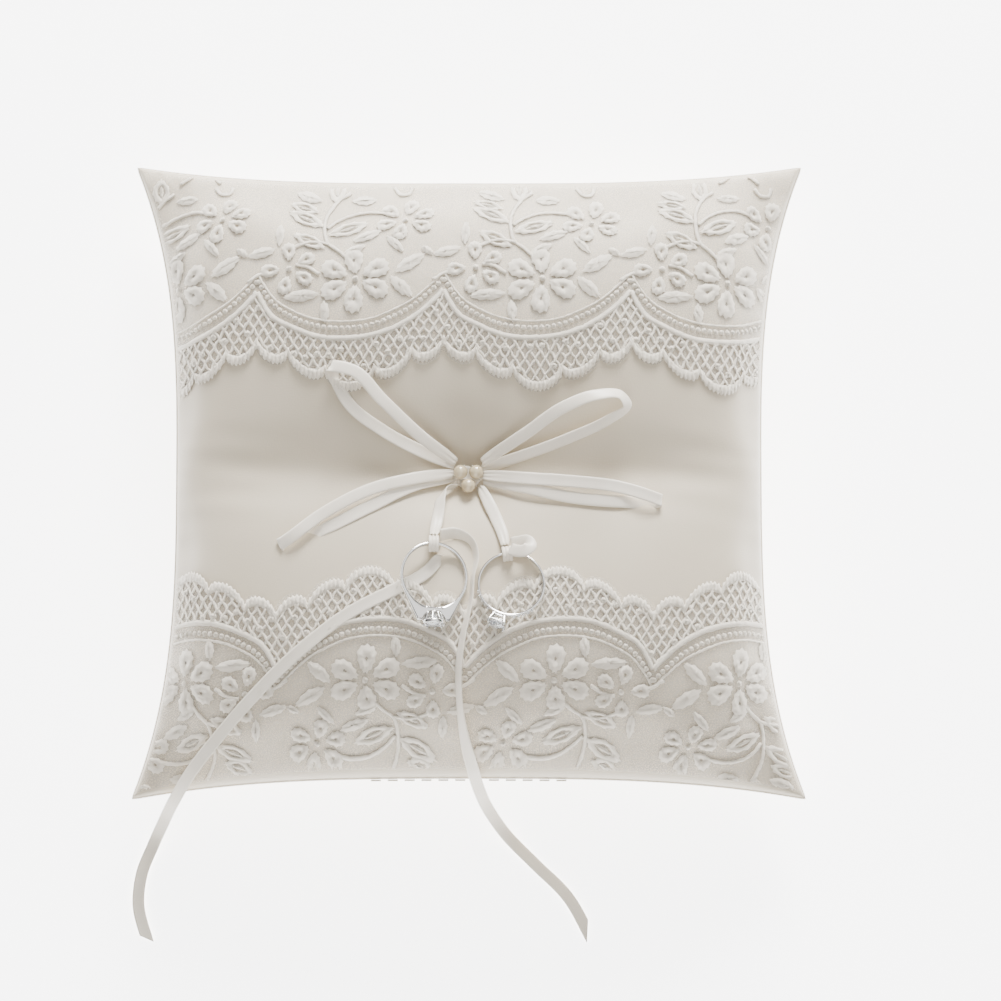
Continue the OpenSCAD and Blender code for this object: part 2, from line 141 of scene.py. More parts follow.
def tint(tree, shader, light, dark, amount):
    """Base colour that goes from dark to light as amount, a socket from 0 to 1, grows."""
    mix = add(tree, "Mix", {6: colour(dark), 7: colour(light)}, {0: amount}, data_type="RGBA")
    tree.links.new(mix.outputs[2], shader.inputs["Base Color"])


def relief(tree, shader, height, depth_mm, strength=1.0):
    """Bump of that depth from a height socket from 0 to 1."""
    bump = add(tree, "Bump", {"Strength": strength, "Distance": depth_mm * MM}, {"Height": height})
    tree.links.new(bump.outputs["Normal"], shader.inputs["Normal"])


def satin_ribbon():
    """Ribbon satin: floats of yarn 0.1 mm wide and 3 mm long, which give a soft gloss along it."""
    made, tree, shader = finish_material("ribbon_satin", Roughness=0.36, Sheen_Weight=0.25,
                                         Sheen_Roughness=0.4)
    place = add(tree, "TexCoord")
    yarns = add(tree, "Mapping", {"Scale": (0.35, 9.0, 1.0)}, {"Vector": place.outputs["UV"]})
    floats = add(tree, "TexNoise", {"Scale": 1.0, "Detail": 2.0}, {"Vector": yarns.outputs["Vector"]})
    shade = add(tree, "TexNoise", {"Scale": 0.12, "Detail": 2.0}, {"Vector": place.outputs["UV"]})
    tint(tree, shader, "f1e9da", "e4dac8", shade.outputs["Fac"])
    relief(tree, shader, floats.outputs["Fac"], 0.04, 0.6)
    return made


def unit(v):
    """Each row divided by its length."""
    return v / np.linalg.norm(v, axis=-1, keepdims=True)


def round_steps(count):
    """That many even steps once round, in radians from 0."""
    return np.linspace(0, 2 * math.pi, count, endpoint=False)


def smooth_line(rows, step):
    """A curve through the rows at even steps of its first three columns: each piece is a cubic
    whose slope at a row is the slope between that row's neighbours."""
    rows = np.asarray(rows, float)
    gaps = np.linalg.norm(np.diff(rows[:, :3], axis=0), axis=1)
    at = np.concatenate([[0], np.cumsum(gaps)])
    slope = np.gradient(rows, at, axis=0)
    s = np.linspace(0, at[-1], max(int(at[-1] / step), 8) + 1)
    i = np.clip(np.searchsorted(at, s, side="right") - 1, 0, len(at) - 2)
    h = gaps[i][:, None]
    f = (s - at[i])[:, None] / h
    return ((1 + 2 * f) * (1 - f) ** 2 * rows[i] + f * (1 - f) ** 2 * h * slope[i]
            + f * f * (3 - 2 * f) * rows[i + 1] + f * f * (f - 1) * h * slope[i + 1])


def grid_faces(rows, cols, closed=False, first=0):
    """Quads of a grid of points, row after row, joined round along a row if it is closed."""
    i, j = np.meshgrid(np.arange(rows - 1), np.arange(cols if closed else cols - 1), indexing="ij")
    i, j, k = i.ravel(), j.ravel(), (j.ravel() + 1) % cols
    return first + np.stack([i * cols + j, i * cols + k, (i + 1) * cols + k, (i + 1) * cols + j], 1)


def tube_faces(rows, cols):
    """Faces of a tube of points, row after row, with one flat face over each end."""
    last = (rows - 1) * cols
    ends = [list(range(cols))[::-1], list(range(last, last + cols))]
    return [*grid_faces(rows, cols, closed=True).tolist(), *ends]


def ring_faces(rows, cols):
    """Quads of a tube of points whose last row joins its first."""
    return grid_faces(rows + 1, cols, closed=True) % (rows * cols)


def new_piece(name, points, faces, material, body="root", replaces=(), uv=None,
              smooth=True):
    """A mesh from points in mm, with its material, that rides on a body in place of CAD nodes.
    uv holds one pair a point, in mm."""
    mesh = bpy.data.meshes.new(name)
    mesh.from_pydata((np.asarray(points) * MM).tolist(), [], [list(map(int, f)) for f in faces])
    mesh.polygons.foreach_set("use_smooth", np.full(len(mesh.polygons), smooth))
    if uv is not None:
        corner = np.zeros(len(mesh.loops), np.int32)
        mesh.loops.foreach_get("vertex_index", corner)
        mesh.uv_layers.new(name="cloth").data.foreach_set(
            "uv", np.asarray(uv, np.float32)[corner].ravel())
    mesh.materials.append(material)
    obj = bpy.data.objects.new(name, mesh)
    bpy.context.scene.collection.objects.link(obj)
    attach(obj, body)
    if replaces:
        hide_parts(*replaces)
    return obj


ribbon_material = satin_ribbon()


def ribbon(name, rows, slant=0, pinch=0):
    """A flat ribbon through the rows, each [x, y, z, bearing of its width, rise of its width].
    Its section is a thin rounded strip that cups a little. Its far end may be cut on the slant by
    so many mm, and both ends may be pinched into pleats by a share of its width."""
    line = smooth_line(rows, RIBBON_STEP)
    run = np.concatenate([[0], np.cumsum(np.linalg.norm(np.diff(line[:, :3], axis=0), axis=1))])
    total = run[-1]
    count = 2 * SECTION_POINTS
    v = np.concatenate([np.linspace(-1, 1, SECTION_POINTS), np.linspace(1, -1, SECTION_POINTS)])
    side = np.repeat([1, -1], SECTION_POINTS) * np.where(np.abs(v) == 1, 0.25, 1)
    s = run[:, None] - slant * (1 + v) / 2 * run[:, None] / total
    columns = [np.interp(s, run, line[:, k]) for k in range(5)]
    centre = np.stack(columns[:3], -1)
    bearing, rise = np.radians(columns[3]), np.radians(columns[4])
    tangent = unit(np.gradient(line[:, :3], run, axis=0))
    along = unit(np.stack([np.interp(s, run, tangent[:, k]) for k in range(3)], -1))
    across = np.stack([np.cos(bearing) * np.cos(rise), np.sin(bearing) * np.cos(rise),
                       np.sin(rise)], -1)
    across = unit(across - along * (across * along).sum(-1, keepdims=True))
    out = np.cross(across, along)
    held = pinch * (np.exp(-s / PINCH_FADE) + np.exp(-(total - s) / PINCH_FADE))
    width = RIBBON_W / 2 * (1 - held)
    pleats = PLEAT_RISE * held * np.cos(2 * math.pi * PLEAT_WAVES * v)
    lift = side * RIBBON_T / 2 + CUPPING * v * v + pleats
    points = centre + (v * width)[..., None] * across + lift[..., None] * out
    uv = np.stack([s, v * width + np.where(side > 0, 0, 2 * RIBBON_W)], -1).reshape(-1, 2)
    obj = new_piece(name, points.reshape(-1, 3), tube_faces(len(run), count), ribbon_material,
                    uv=uv, replaces=(name.replace("satin_", ""),))
    return obj


BOW_PINCH = 0.35
BOW_LOOPS = {
    "upper_left": [
        [-4, 1.6, 44, 70, 0], [-12, 4.6, 47.2, 65, 0], [-25, 11.2, 49.8, 62, 0],
        [-35, 19, 51.8, 58, 0], [-39.6, 27.6, 53.6, 55, 0], [-40.4, 29, 55, 55, 0],
        [-34, 28.2, 56.8, 52, 0], [-25, 19.4, 56.6, 52, 0], [-13, 8.6, 51.6, 52, 0],
        [-3.6, 2.4, 44.8, 60, 0]],
    "lower_left": [
        [-4.2, -1.8, 43, 100, 0], [-15, -4.4, 47.4, 105, 0], [-28, -10.8, 49.8, 115, 0],
        [-42, -17.8, 50.6, 117, 0], [-54, -22.4, 49.2, 114, 0], [-55.2, -22.4, 50, 117, 0],
        [-54, -21.8, 50.9, 120, 0], [-42, -13.2, 51.8, 118, 0], [-28, -6, 50.6, 115, 0],
        [-15, -2.6, 48.4, 100, 0], [-4.2, -0.8, 44.2, 95, 0]],
    "upper_right": [
        [4, 0.6, 43.2, 100, 20], [16, 4, 48, 112, 30], [30, 9, 50.8, 113, 35],
        [41, 14, 52, 125, 42], [46.5, 17.8, 54, 180, 50], [44.5, 20.8, 57.2, 245, 45],
        [37, 20.4, 59.8, 290, 20], [28, 17, 59, 300, 0], [17, 10, 54, 305, 0],
        [4, 2.4, 45.2, 300, 0]],
    "lower_right": [
        [4.4, -2.8, 44, 80, 0], [17, -5.6, 49, 78, 0], [30, -8.4, 49.6, 83, 0],
        [44, -9.6, 49, 86, 0], [55.4, -9.4, 47, 88, 0], [56.6, -9.2, 47.8, 84, 0],
        [55.4, -8.8, 48.6, 80, 0], [44, -5.4, 49.8, 84, 0], [30, -3.8, 50.4, 88, 0],
        [17, -2.8, 49.4, 88, 0], [4.4, -1.4, 45, 85, 0]]}
for place, rows in BOW_LOOPS.items():
    ribbon("satin_bow_loop_" + place, rows, pinch=BOW_PINCH)
ribbon("satin_ribbon_strand_left",
       [[-3.4, -4.4, 44.2, 40, 60], [-6.4, -5.6, 47.2, 60, 60], [-8, -8.6, 49.4, 10, 40],
        [-8.6, -12.5, 51, 0, 20], [-9.2, -16.5, 53.2, 0, 0], [-10, -20, 56.6, 0, 0]],
       pinch=BOW_PINCH)
ribbon("satin_ribbon_strand_right",
       [[3.4, -4.8, 44.2, 20, 30], [6, -10, 48.4, 20, 10], [8.4, -15.2, 50.8, 20, 0],
        [10.4, -20.6, 53.4, 15, 0], [10.8, -22.8, 54.4, 0, 0]], pinch=BOW_PINCH)
ribbon("satin_ribbon_tail_left",
       [[-7.6, -25.8, 54.2, 45, 0], [-12.4, -31.2, 55.2, 120, 0], [-19.8, -35.2, 55.8, 118, 0],
        [-34.6, -42.8, 55.2, 125, 0], [-49.5, -54, 52, 132, 0], [-64.6, -68.4, 44.6, 136, 0],
        [-73, -77.6, 38.8, 140, 0], [-81, -87, 32, 145, 0], [-87, -95.4, 22, 148, 0],
        [-91.4, -102, 9, 152, 0], [-95, -108.6, 1.6, 158, 0], [-98.4, -117, 0.6, 168, 0],
        [-99.4, -126, 0.6, 180, 0], [-96.4, -138, 0.6, 192, 0]], slant=3)
ribbon("satin_ribbon_tail_right",
       [[-8.2, -20, 54.4, 90, 20], [-3.6, -19.4, 53, 90, 30], [0.8, -21.8, 53.6, 60, 50],
        [2.2, -26.4, 54.6, 0, 60], [1.3, -32, 55.8, 0, 70], [0.8, -38.6, 56.8, 0, 70],
        [-1.4, -48.5, 57.8, 0, 60], [-2.8, -59, 56.2, 0, 60], [-2.4, -70, 51.6, 0, 60],
        [-0.8, -80, 44.8, 10, 40], [1.2, -87, 36.6, 20, 20], [3.2, -93, 24, 25, 10],
        [6.6, -99.4, 10, 30, 0], [11.6, -106, 2, 35, 0], [20, -114.4, 0.6, 45, 0],
        [29.6, -124, 0.6, 50, 0], [37, -137, 0.6, 30, 0]], slant=6)
ribbon("satin_ribbon_knot_loop",
       [[12.2, -24.2, 57.4, 60, 0], [14.2, -25, 58.8, 82, 0], [16.6, -24.9, 59.6, 100, 0],
        [18.2, -23.4, 59, 170, 10], [17, -21.9, 57.2, 255, 0], [14.6, -22.1, 55.6, 265, 0],
        [12.4, -22.4, 54.4, 270, 0]])


# ---------------------------------------------------------------------------------------------
# The cushion: a front and a back panel of matt satin, sewn together on all four sides and filled
# with polyester fibre. The filling is pulled down by a thread in the middle, where the front
# folds across, and the four corners stay empty and point outwards.
HALF_W, HALF_D = 100.0, 95.0
SIDE_PULL, END_PULL = 13.0, 6.0
SEAM_Z, EAR_DROP = 22.0, 6.0
FRONT_RISE, BACK_FALL = 35.0, 28.0
PANEL_LIFT = 1.2
FOLD_DEPTH, FOLD_REACH, FOLD_ROUND = 14.0, 58.0, 3.0
DIMPLE_DEPTH, DIMPLE_R = 5.0, 11.0
SIM_COLUMNS, SIM_ROWS = 60, 56
FINE = 3
START_SHRINK = 0.6
CLEAR_OF_TABLE = 1.0
TUFT_R = 5.0
SWELL_CAP = 2.2
PRESSURE = 4.0
SIM_FRAMES = 20


def plan(p, q):
    """Where p and q, from -1 to 1 across and along the cushion, lie on the table: each side
    pulls in between its corners by the cube of the distance from its middle."""
    x = p * (HALF_W - SIDE_PULL * (1 - np.abs(q) ** 3))
    y = q * (HALF_D - END_PULL * (1 - np.abs(p) ** 3))
    return x, y


def sewn_z(p, q):
    """The seam's height: level along the sides, and lower at the corners by the square of pq."""
    return SEAM_Z - EAR_DROP * (p * q) ** 2


def crown(p, q):
    """How full the cushion is: 0 at the seam and 1 in the middle."""
    return np.sqrt(np.maximum(0, (1 - np.abs(p) ** 2.6) * (1 - np.abs(q) ** 2.6)))


def sewn_front(p, q):
    """The front panel: seam height plus crown, less the fold across the middle and the dimple."""
    x, y = plan(p, q)
    fold = FOLD_DEPTH * (1 - 0.5 * p * p) * np.maximum(
        0, 1 - np.sqrt(y * y + FOLD_ROUND ** 2) / FOLD_REACH) ** 1.5
    dimple = DIMPLE_DEPTH * np.exp(-(x * x + y * y) / DIMPLE_R ** 2)
    z = sewn_z(p, q) + PANEL_LIFT + crown(p, q) * (FRONT_RISE - fold - dimple)
    return np.stack([x, y, z], -1)


def sewn_back(p, q):
    """The back panel: seam height less its fall, pressed flat on the table, with the dimple."""
    x, y = plan(p, q)
    dimple = DIMPLE_DEPTH * np.exp(-(x * x + y * y) / DIMPLE_R ** 2)
    z = sewn_z(p, q) - PANEL_LIFT - crown(p, q) * BACK_FALL
    return np.stack([x, y, np.maximum(np.maximum(0, dimple - 0.5), z)], -1)


def both_ways(count):
    """That many steps from -1 to 1, closer together towards the ends."""
    even = np.linspace(-1, 1, count + 1)
    return 0.55 * even + 0.45 * np.sin(even * math.pi / 2)


def shell(front, back):
    """Points and faces of a closed shell: two sheets on one grid, joined round their edge."""
    rows, cols = front.shape[:2]
    points = np.concatenate([front.reshape(-1, 3), back.reshape(-1, 3)])
    top = grid_faces(rows, cols)
    under = grid_faces(rows, cols, first=rows * cols)[:, ::-1]
    index = np.arange(rows * cols).reshape(rows, cols)
    rim = np.concatenate([index[0, :-1], index[:-1, -1], index[-1, :0:-1], index[:0:-1, 0]])
    after = np.roll(rim, -1)
    side = np.stack([rim, rim + rows * cols, after + rows * cols, after], 1)
    return points, np.concatenate([top, under, side]), rim


def swell(points, faces, pinned):
    """How far each point moves when the sewn shape is blown up as cloth: pressure inside, no
    weight, the pinned points held, and every move no longer than the cap."""
    mesh = bpy.data.meshes.new("swelling")
    mesh.from_pydata((points * MM).tolist(), [], faces.tolist())
    obj = bpy.data.objects.new("swelling", mesh)
    bpy.context.scene.collection.objects.link(obj)
    held = obj.vertex_groups.new(name="held")
    held.add([int(i) for i in pinned], 1.0, "REPLACE")
    cloth = obj.modifiers.new("cloth", "CLOTH")
    rules = cloth.settings
    rules.vertex_group_mass = "held"
    rules.use_pressure = True
    rules.uniform_pressure_force = PRESSURE
    rules.effector_weights.gravity = 0
    rules.shrink_min = -0.05
    rules.tension_stiffness = 20
    rules.compression_stiffness = 20
    rules.bending_stiffness = 0.4
    cloth.point_cache.frame_start = 1
    cloth.point_cache.frame_end = SIM_FRAMES
    for step in range(1, SIM_FRAMES + 1):
        bpy.context.scene.frame_set(step)
    result = obj.evaluated_get(bpy.context.evaluated_depsgraph_get()).to_mesh()
    moved = np.zeros(len(points) * 3, np.float32)
    result.vertices.foreach_get("co", moved)
    bpy.data.objects.remove(obj)
    bpy.context.scene.frame_set(1)
    move = moved.reshape(-1, 3).astype(float) / MM - points
    length = np.linalg.norm(move, axis=1, keepdims=True)
    return move * np.minimum(1, SWELL_CAP / np.maximum(length, 1e-6))


def evened(field):
    """A grid of movements with its short wrinkles taken out: each inner value becomes the mean
    of itself and its four neighbours, six times over."""
    for _ in range(6):
        inner = (field[1:-1, 1:-1] + field[2:, 1:-1] + field[:-2, 1:-1] + field[1:-1, 2:]
                 + field[1:-1, :-2]) / 5
        field = field.copy()
        field[1:-1, 1:-1] = inner
    return field


sim_p, sim_q = both_ways(SIM_COLUMNS), both_ways(SIM_ROWS)
P, Q = np.meshgrid(sim_p, sim_q)
slack = START_SHRINK * crown(P, Q)[..., None] * np.array([0, 0, 1])
back_slack = slack * (sewn_back(P, Q)[..., 2:] > CLEAR_OF_TABLE)
points, faces, rim = shell(sewn_front(P, Q) - slack, sewn_back(P, Q) + back_slack)
tied_down = np.flatnonzero(np.hypot(points[:, 0], points[:, 1]) < TUFT_R)
flat_under = np.flatnonzero(points[:, 2] < CLEAR_OF_TABLE / 2)
move = swell(points, faces, np.concatenate([rim, rim + P.size, tied_down, flat_under]))
front_move = evened(move[:P.size].reshape(*P.shape, 3)) - slack
back_move = evened(move[P.size:].reshape(*P.shape, 3)) + back_slack


def weights(f):
    """The four shares of a smooth curve through evenly spaced values, f of the way from the
    second to the third."""
    return (-0.5 * f + f * f - 0.5 * f ** 3, 1 - 2.5 * f * f + 1.5 * f ** 3,
            0.5 * f + 2 * f * f - 1.5 * f ** 3, -0.5 * f * f + 0.5 * f ** 3)


def swelled(sewn, moves, p, q):
    """A sewn panel at p and q, arrays of one shape, with the cloth's own movement added: the
    smooth mean of the movements of the sixteen nearest simulated points."""
    column = np.interp(p, sim_p, np.arange(len(sim_p)))
    row = np.interp(q, sim_q, np.arange(len(sim_q)))
    i = np.clip(np.floor(row).astype(int), 0, len(sim_q) - 2)
    j = np.clip(np.floor(column).astype(int), 0, len(sim_p) - 2)
    down, over = weights((row - i)[..., None]), weights((column - j)[..., None])
    added = sum(down[a] * over[b] * moves[np.clip(i + a - 1, 0, len(sim_q) - 1),
                                          np.clip(j + b - 1, 0, len(sim_p) - 1)]
                for a in range(4) for b in range(4))
    return sewn(p, q) + added


def puckers(p, q):
    """Small gathers that the seam pulls into the satin, dying away in 5 mm, and soft creases at
    the two ends of the fold; a height in mm."""
    x, y = plan(p, q)
    inward = np.minimum((1 - np.abs(p)) * HALF_W, (1 - np.abs(q)) * HALF_D)
    round_edge = np.where(np.abs(p) * HALF_W > np.abs(q) * HALF_D, y, x)
    gathers = 0.28 * np.sin(round_edge / 1.15 + 2 * np.sin(round_edge / 9)) * np.exp(-inward / 5)
    ends = np.exp(-((np.abs(x) - 68) / 15) ** 2 - (y / 13) ** 2)
    creases = 0.18 * np.cos(y / 1.5 + x / 14) * ends
    fanned = np.arctan2(y, x) * 9
    drawn = 0.22 * np.cos(fanned) * np.exp(-((np.hypot(x, y) - 11) / 8) ** 2)
    return gathers * (inward > 0.01) + creases + drawn


def front_surface(p, q, lift=0.0):
    """The finished front panel at p and q, raised by lift in mm."""
    at = swelled(sewn_front, front_move, p, q)
    at[..., 2] += puckers(p, q) + lift
    return at


def matt_satin():
    """Heavy matt bridal satin: a cross weave, drawn 0.3 mm apart, three times as coarse as it is,
    so that it shows, a faint slub in patches of 26 mm, and a soft sheen."""
    made, tree, shader = finish_material("matt_satin", Roughness=0.62, Sheen_Weight=0.35,
                                         Sheen_Roughness=0.5)
    place = add(tree, "TexCoord")
    across = add(tree, "Mapping", {"Scale": (3400, 900, 900)}, {"Vector": place.outputs["Object"]})
    along = add(tree, "Mapping", {"Scale": (700, 3400, 900)}, {"Vector": place.outputs["Object"]})
    warp = add(tree, "TexNoise", {"Scale": 1.0}, {"Vector": across.outputs["Vector"]})
    weft = add(tree, "TexNoise", {"Scale": 1.0}, {"Vector": along.outputs["Vector"]})
    cloth = add(tree, "Math", None, {0: warp.outputs["Fac"], 1: weft.outputs["Fac"]}, operation="ADD")
    shade = add(tree, "TexNoise", {"Scale": 38.0, "Detail": 3.0}, {"Vector": place.outputs["Object"]})
    tint(tree, shader, "cdc1ab", "c1b49d", shade.outputs["Fac"])
    relief(tree, shader, cloth.outputs[0], 0.06, 0.5)
    return made


satin_material = matt_satin()
fine_p = np.interp(np.arange(SIM_COLUMNS * FINE + 1) / FINE, np.arange(SIM_COLUMNS + 1), sim_p)
fine_q = np.interp(np.arange(SIM_ROWS * FINE + 1) / FINE, np.arange(SIM_ROWS + 1), sim_q)
P, Q = np.meshgrid(fine_p, fine_q)
points, faces, _ = shell(front_surface(P, Q), swelled(sewn_back, back_move, P, Q))
points[:, 2] = np.maximum(points[:, 2], 0)
cushion = new_piece("satin_cushion", points, faces.tolist(), satin_material,
                    replaces=("front_panel", "back_panel", "fibre_filling"))


# ---------------------------------------------------------------------------------------------
# The sewn edge: the two panels' allowances turned in and pressed, a thin firm ridge with a
# close row of stitches, and the hand stitches that close the foot edge after filling.
SEAM_OUT, SEAM_HALF = 0.7, 0.55
SEAM_STEPS = 170


def edge_path():
    """The outline at even steps of p and q, once round: foot, right, head and left."""
    go = np.linspace(-1, 1, SEAM_STEPS, endpoint=False)
    p = np.concatenate([go, np.ones(SEAM_STEPS), -go, -np.ones(SEAM_STEPS)])
    q = np.concatenate([-np.ones(SEAM_STEPS), go, np.ones(SEAM_STEPS), -go])
    x, y = plan(p, q)
    return np.stack([x, y, sewn_z(p, q)], -1)


line = edge_path()
ahead = unit(np.roll(line, -2, axis=0) - np.roll(line, 2, axis=0))
outward = unit(np.cross(ahead, [0, 0, 1]))
turn_round = round_steps(10)
stitch_dent = 1 - 0.12 * np.cos(np.arange(len(line)) * math.pi)[:, None]
ridge = (line[:, None] + outward[:, None] * (SEAM_OUT * np.cos(turn_round) - 0.2)[None, :, None]
         + (np.sin(turn_round)[None, :] * SEAM_HALF * 2 * stitch_dent)[..., None] * [0, 0, 1])
new_piece("sewn_edge", ridge.reshape(-1, 3), ring_faces(*ridge.shape[:2]).tolist(), satin_material,
          replaces=("edge_seam",))


def sewing_thread():
    """Spun polyester thread: a twist that turns every 0.7 mm and a dry, pale finish."""
    made, tree, shader = finish_material("sewing_thread", Roughness=0.7, Sheen_Weight=0.3)
    place = add(tree, "TexCoord")
    twist = add(tree, "TexWave", {"Scale": 900.0, "Distortion": 1.0},
                {"Vector": place.outputs["Object"]}, bands_direction="DIAGONAL")
    tint(tree, shader, "e6dfd1", "cfc5b2", twist.outputs["Fac"])
    relief(tree, shader, twist.outputs["Fac"], 0.05)
    return made


thread_material = sewing_thread()
for node in ("closing_stitches", "tufting_thread"):
    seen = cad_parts[node].data.materials
    seen.clear()
    seen.append(thread_material)


# ---------------------------------------------------------------------------------------------
# The lace trims: embroidered tulle across the head and the foot, sewn into the side seams, with
# a scalloped edge of satin stitch, a net of thread behind it, two raised arches and a spray of
# flowers that repeats every 54 mm. Here u runs along the trim and t in from its outermost scallop.
REPEAT = 54.0
# TRIM_START gives the x and the distance from the middle where u and t are 0, and the way t runs.
# Each scallop has its two ends, as shares of the repeat, its two valleys and its bulge in mm.
TRIM_START = {"head": (-7.0, 23.0, 1), "foot": (-1.0, 29.5, -1)}
TRIM_P, TRIM_Q = 0.99, 0.985
TULLE_LIFT, THREAD_LIFT = 0.45, 0.55
YARN_LOOSE = 0.07
RIB_SIDES = 6
SCALLOP_BAND, STITCH_PITCH = 2.8, 1.2
NET_PITCH, NET_SLANT = 2.9, 0.62
SCALLOPS = [[0, 0.17, 13.6, 10.6, 3.8], [0.17, 0.37, 10.6, 5.4, 3.8], [0.37, 0.63, 5.4, 5.4, 5.4],
            [0.63, 0.83, 5.4, 10.6, 3.8], [0.83, 1, 10.6, 13.6, 3.8]]
ARCH = [[-2, 29.5, 0], [0, 29, 0], [3.5, 25.2, 0], [8, 21.5, 0], [14, 18, 0], [20, 16, 0],
        [28, 15, 0], [36, 15.5, 0], [44, 18.5, 0], [50, 22, 0], [52.6, 26, 0], [54, 29, 0], [56, 29.5, 0]]
BEADED_ARCH = [[0.3, 32, 0], [3.8, 28.6, 0], [9, 24.2, 0], [15, 21, 0], [20, 19, 0], [26, 18, 0],
               [32, 18, 0], [38, 19, 0], [44, 21.5, 0], [48, 24, 0], [51.4, 28, 0], [53.7, 32, 0]]


def free_edge(u):
    """How far in the scalloped edge is at u: each scallop runs straight from valley to valley
    and bulges out by a full round arc."""
    share = np.mod(u / REPEAT, 1)
    t = np.zeros_like(share)
    for start, end, valley, next_valley, bulge in SCALLOPS:
        f = np.clip((share - start) / (end - start), 0, 1)
        here = (share >= start) & (share <= end)
        t = np.where(here, valley + (next_valley - valley) * f
                     - bulge * np.maximum(0, 1 - (2 * f - 1) ** 2) ** 0.6, t)
    return t


def arch_t(u):
    """How far in the first arch is at u."""
    line = np.array(ARCH)
    return np.interp(np.mod(u, REPEAT), line[:, 0], line[:, 1])


def on_cushion(x, y):
    """p and q of plan points, closed in on from the straight-sided cushion."""
    p, q = x / HALF_W, y / HALF_D
    for _ in range(10):
        p, q = x / (HALF_W - SIDE_PULL * (1 - np.clip(np.abs(q), 0, 1) ** 3)), y / (
            HALF_D - END_PULL * (1 - np.clip(np.abs(p), 0, 1) ** 3))
    return p, q


def sewn_down(trim, flat):
    """Trim points (u, t, height) laid on the front panel; returns places and which of them are
    inside the seams."""
    x0, y0, way = TRIM_START[trim]
    p, q = on_cushion(x0 - way * flat[:, 0], way * (y0 + flat[:, 1]))
    inside = (np.abs(p) < TRIM_P) & (np.abs(q) < TRIM_Q)
    at = front_surface(np.clip(p, -TRIM_P, TRIM_P), np.clip(q, -TRIM_Q, TRIM_Q))
    at[:, 2] += THREAD_LIFT + flat[:, 2]
    return at, inside


def cord_stitch(points, width, height, step=0.7):
    """A raised line of satin stitch along (u, t) points: a low rib of six sides."""
    line = smooth_line(points, step)
    run = np.concatenate([[0], np.cumsum(np.linalg.norm(np.diff(line[:, :2], axis=0), axis=1))])
    ahead = unit(np.gradient(line[:, :2], axis=0))
    side = np.stack([-ahead[:, 1], ahead[:, 0]], 1)
    angle = round_steps(RIB_SIDES)
    flat = line[:, None, :2] + side[:, None] * (width / 2 * np.cos(angle))[None, :, None]
    rise = np.broadcast_to(height * np.sin(angle) * np.where(angle > math.pi, 0.2, 1), flat.shape[:2])
    uv = np.stack([np.broadcast_to(run[:, None], rise.shape),
                   np.broadcast_to(width * angle / RIB_SIDES, rise.shape)], -1)
    return (np.concatenate([flat, rise[..., None]], -1).reshape(-1, 3),
            tube_faces(len(line), RIB_SIDES), uv.reshape(-1, 2))


def petal(centre, toward, length, width, eye=0.0, height=0.6, point=0.3, taper=0.0):
    """A satin-stitched petal or leaf about centre, its length in the direction toward: rings of
    an oval that is drawn in at its ends by point and narrows backwards by taper, domed and ribbed
    by its stitches, with an open eyelet if eye is above 0."""
    rings, spokes = 4, 22
    inner = max(eye, 0.06)
    r = np.linspace(inner, 1, rings)[:, None]
    a = round_steps(spokes)[None, :]
    stitch = np.where(np.arange(spokes) % 2 == 0, 1, -1)[None, :]
    r = r * (1 + 0.07 * stitch * (r == 1))
    along = r * np.cos(a) * length / 2
    across = r * np.sin(a) * width / 2 * (1 - point * np.abs(np.cos(a)) ** 3)
    across = across * (1 - taper * (1 - np.cos(a)) / 2)
    middle = (r - (inner + 1) / 2) / ((1 - inner) / 2) if eye else r
    rise = height * (0.1 + 0.9 * np.sqrt(np.maximum(0, 1 - np.abs(middle) ** 2.5)) * (1 + 0.22 * stitch))
    way = math.atan2(toward[1], toward[0])
    u = centre[0] + along * math.cos(way) - across * math.sin(way)
    t = centre[1] + along * math.sin(way) + across * math.cos(way)
    faces = grid_faces(rings, spokes, closed=True)[:, ::-1].tolist()
    if not eye:
        faces.append(list(range(spokes)))
    return (np.stack([u, t, rise], -1).reshape(-1, 3), faces,
            np.stack([along, across], -1).reshape(-1, 2))


def leaf(base, tip, width, eye=0.0, height=0.55):
    """A leaf from its base to its tip."""
    base, tip = np.array(base), np.array(tip)
    return petal((base + tip) / 2, tip - base, float(np.hypot(*(tip - base))), width, eye, height, 0.55)


def flower(centre, petals, length, width, eye):
    """Petals that point away from the flower's centre, and a small knot in the middle."""
    parts = [petal(at, np.subtract(at, centre), length, width, eye, 0.8, 0.12, 0.5) for at in petals]
    return [*parts, petal(centre, (1, 0), 1.8, 1.8, height=0.7, point=0)]


def beads(points, pitch, size):
    """A row of small round knots along (u, t) points."""
    line = smooth_line(points, pitch)[:, :2]
    return [petal(at, (1, 0), size, size, height=0.5, point=0) for at in line]


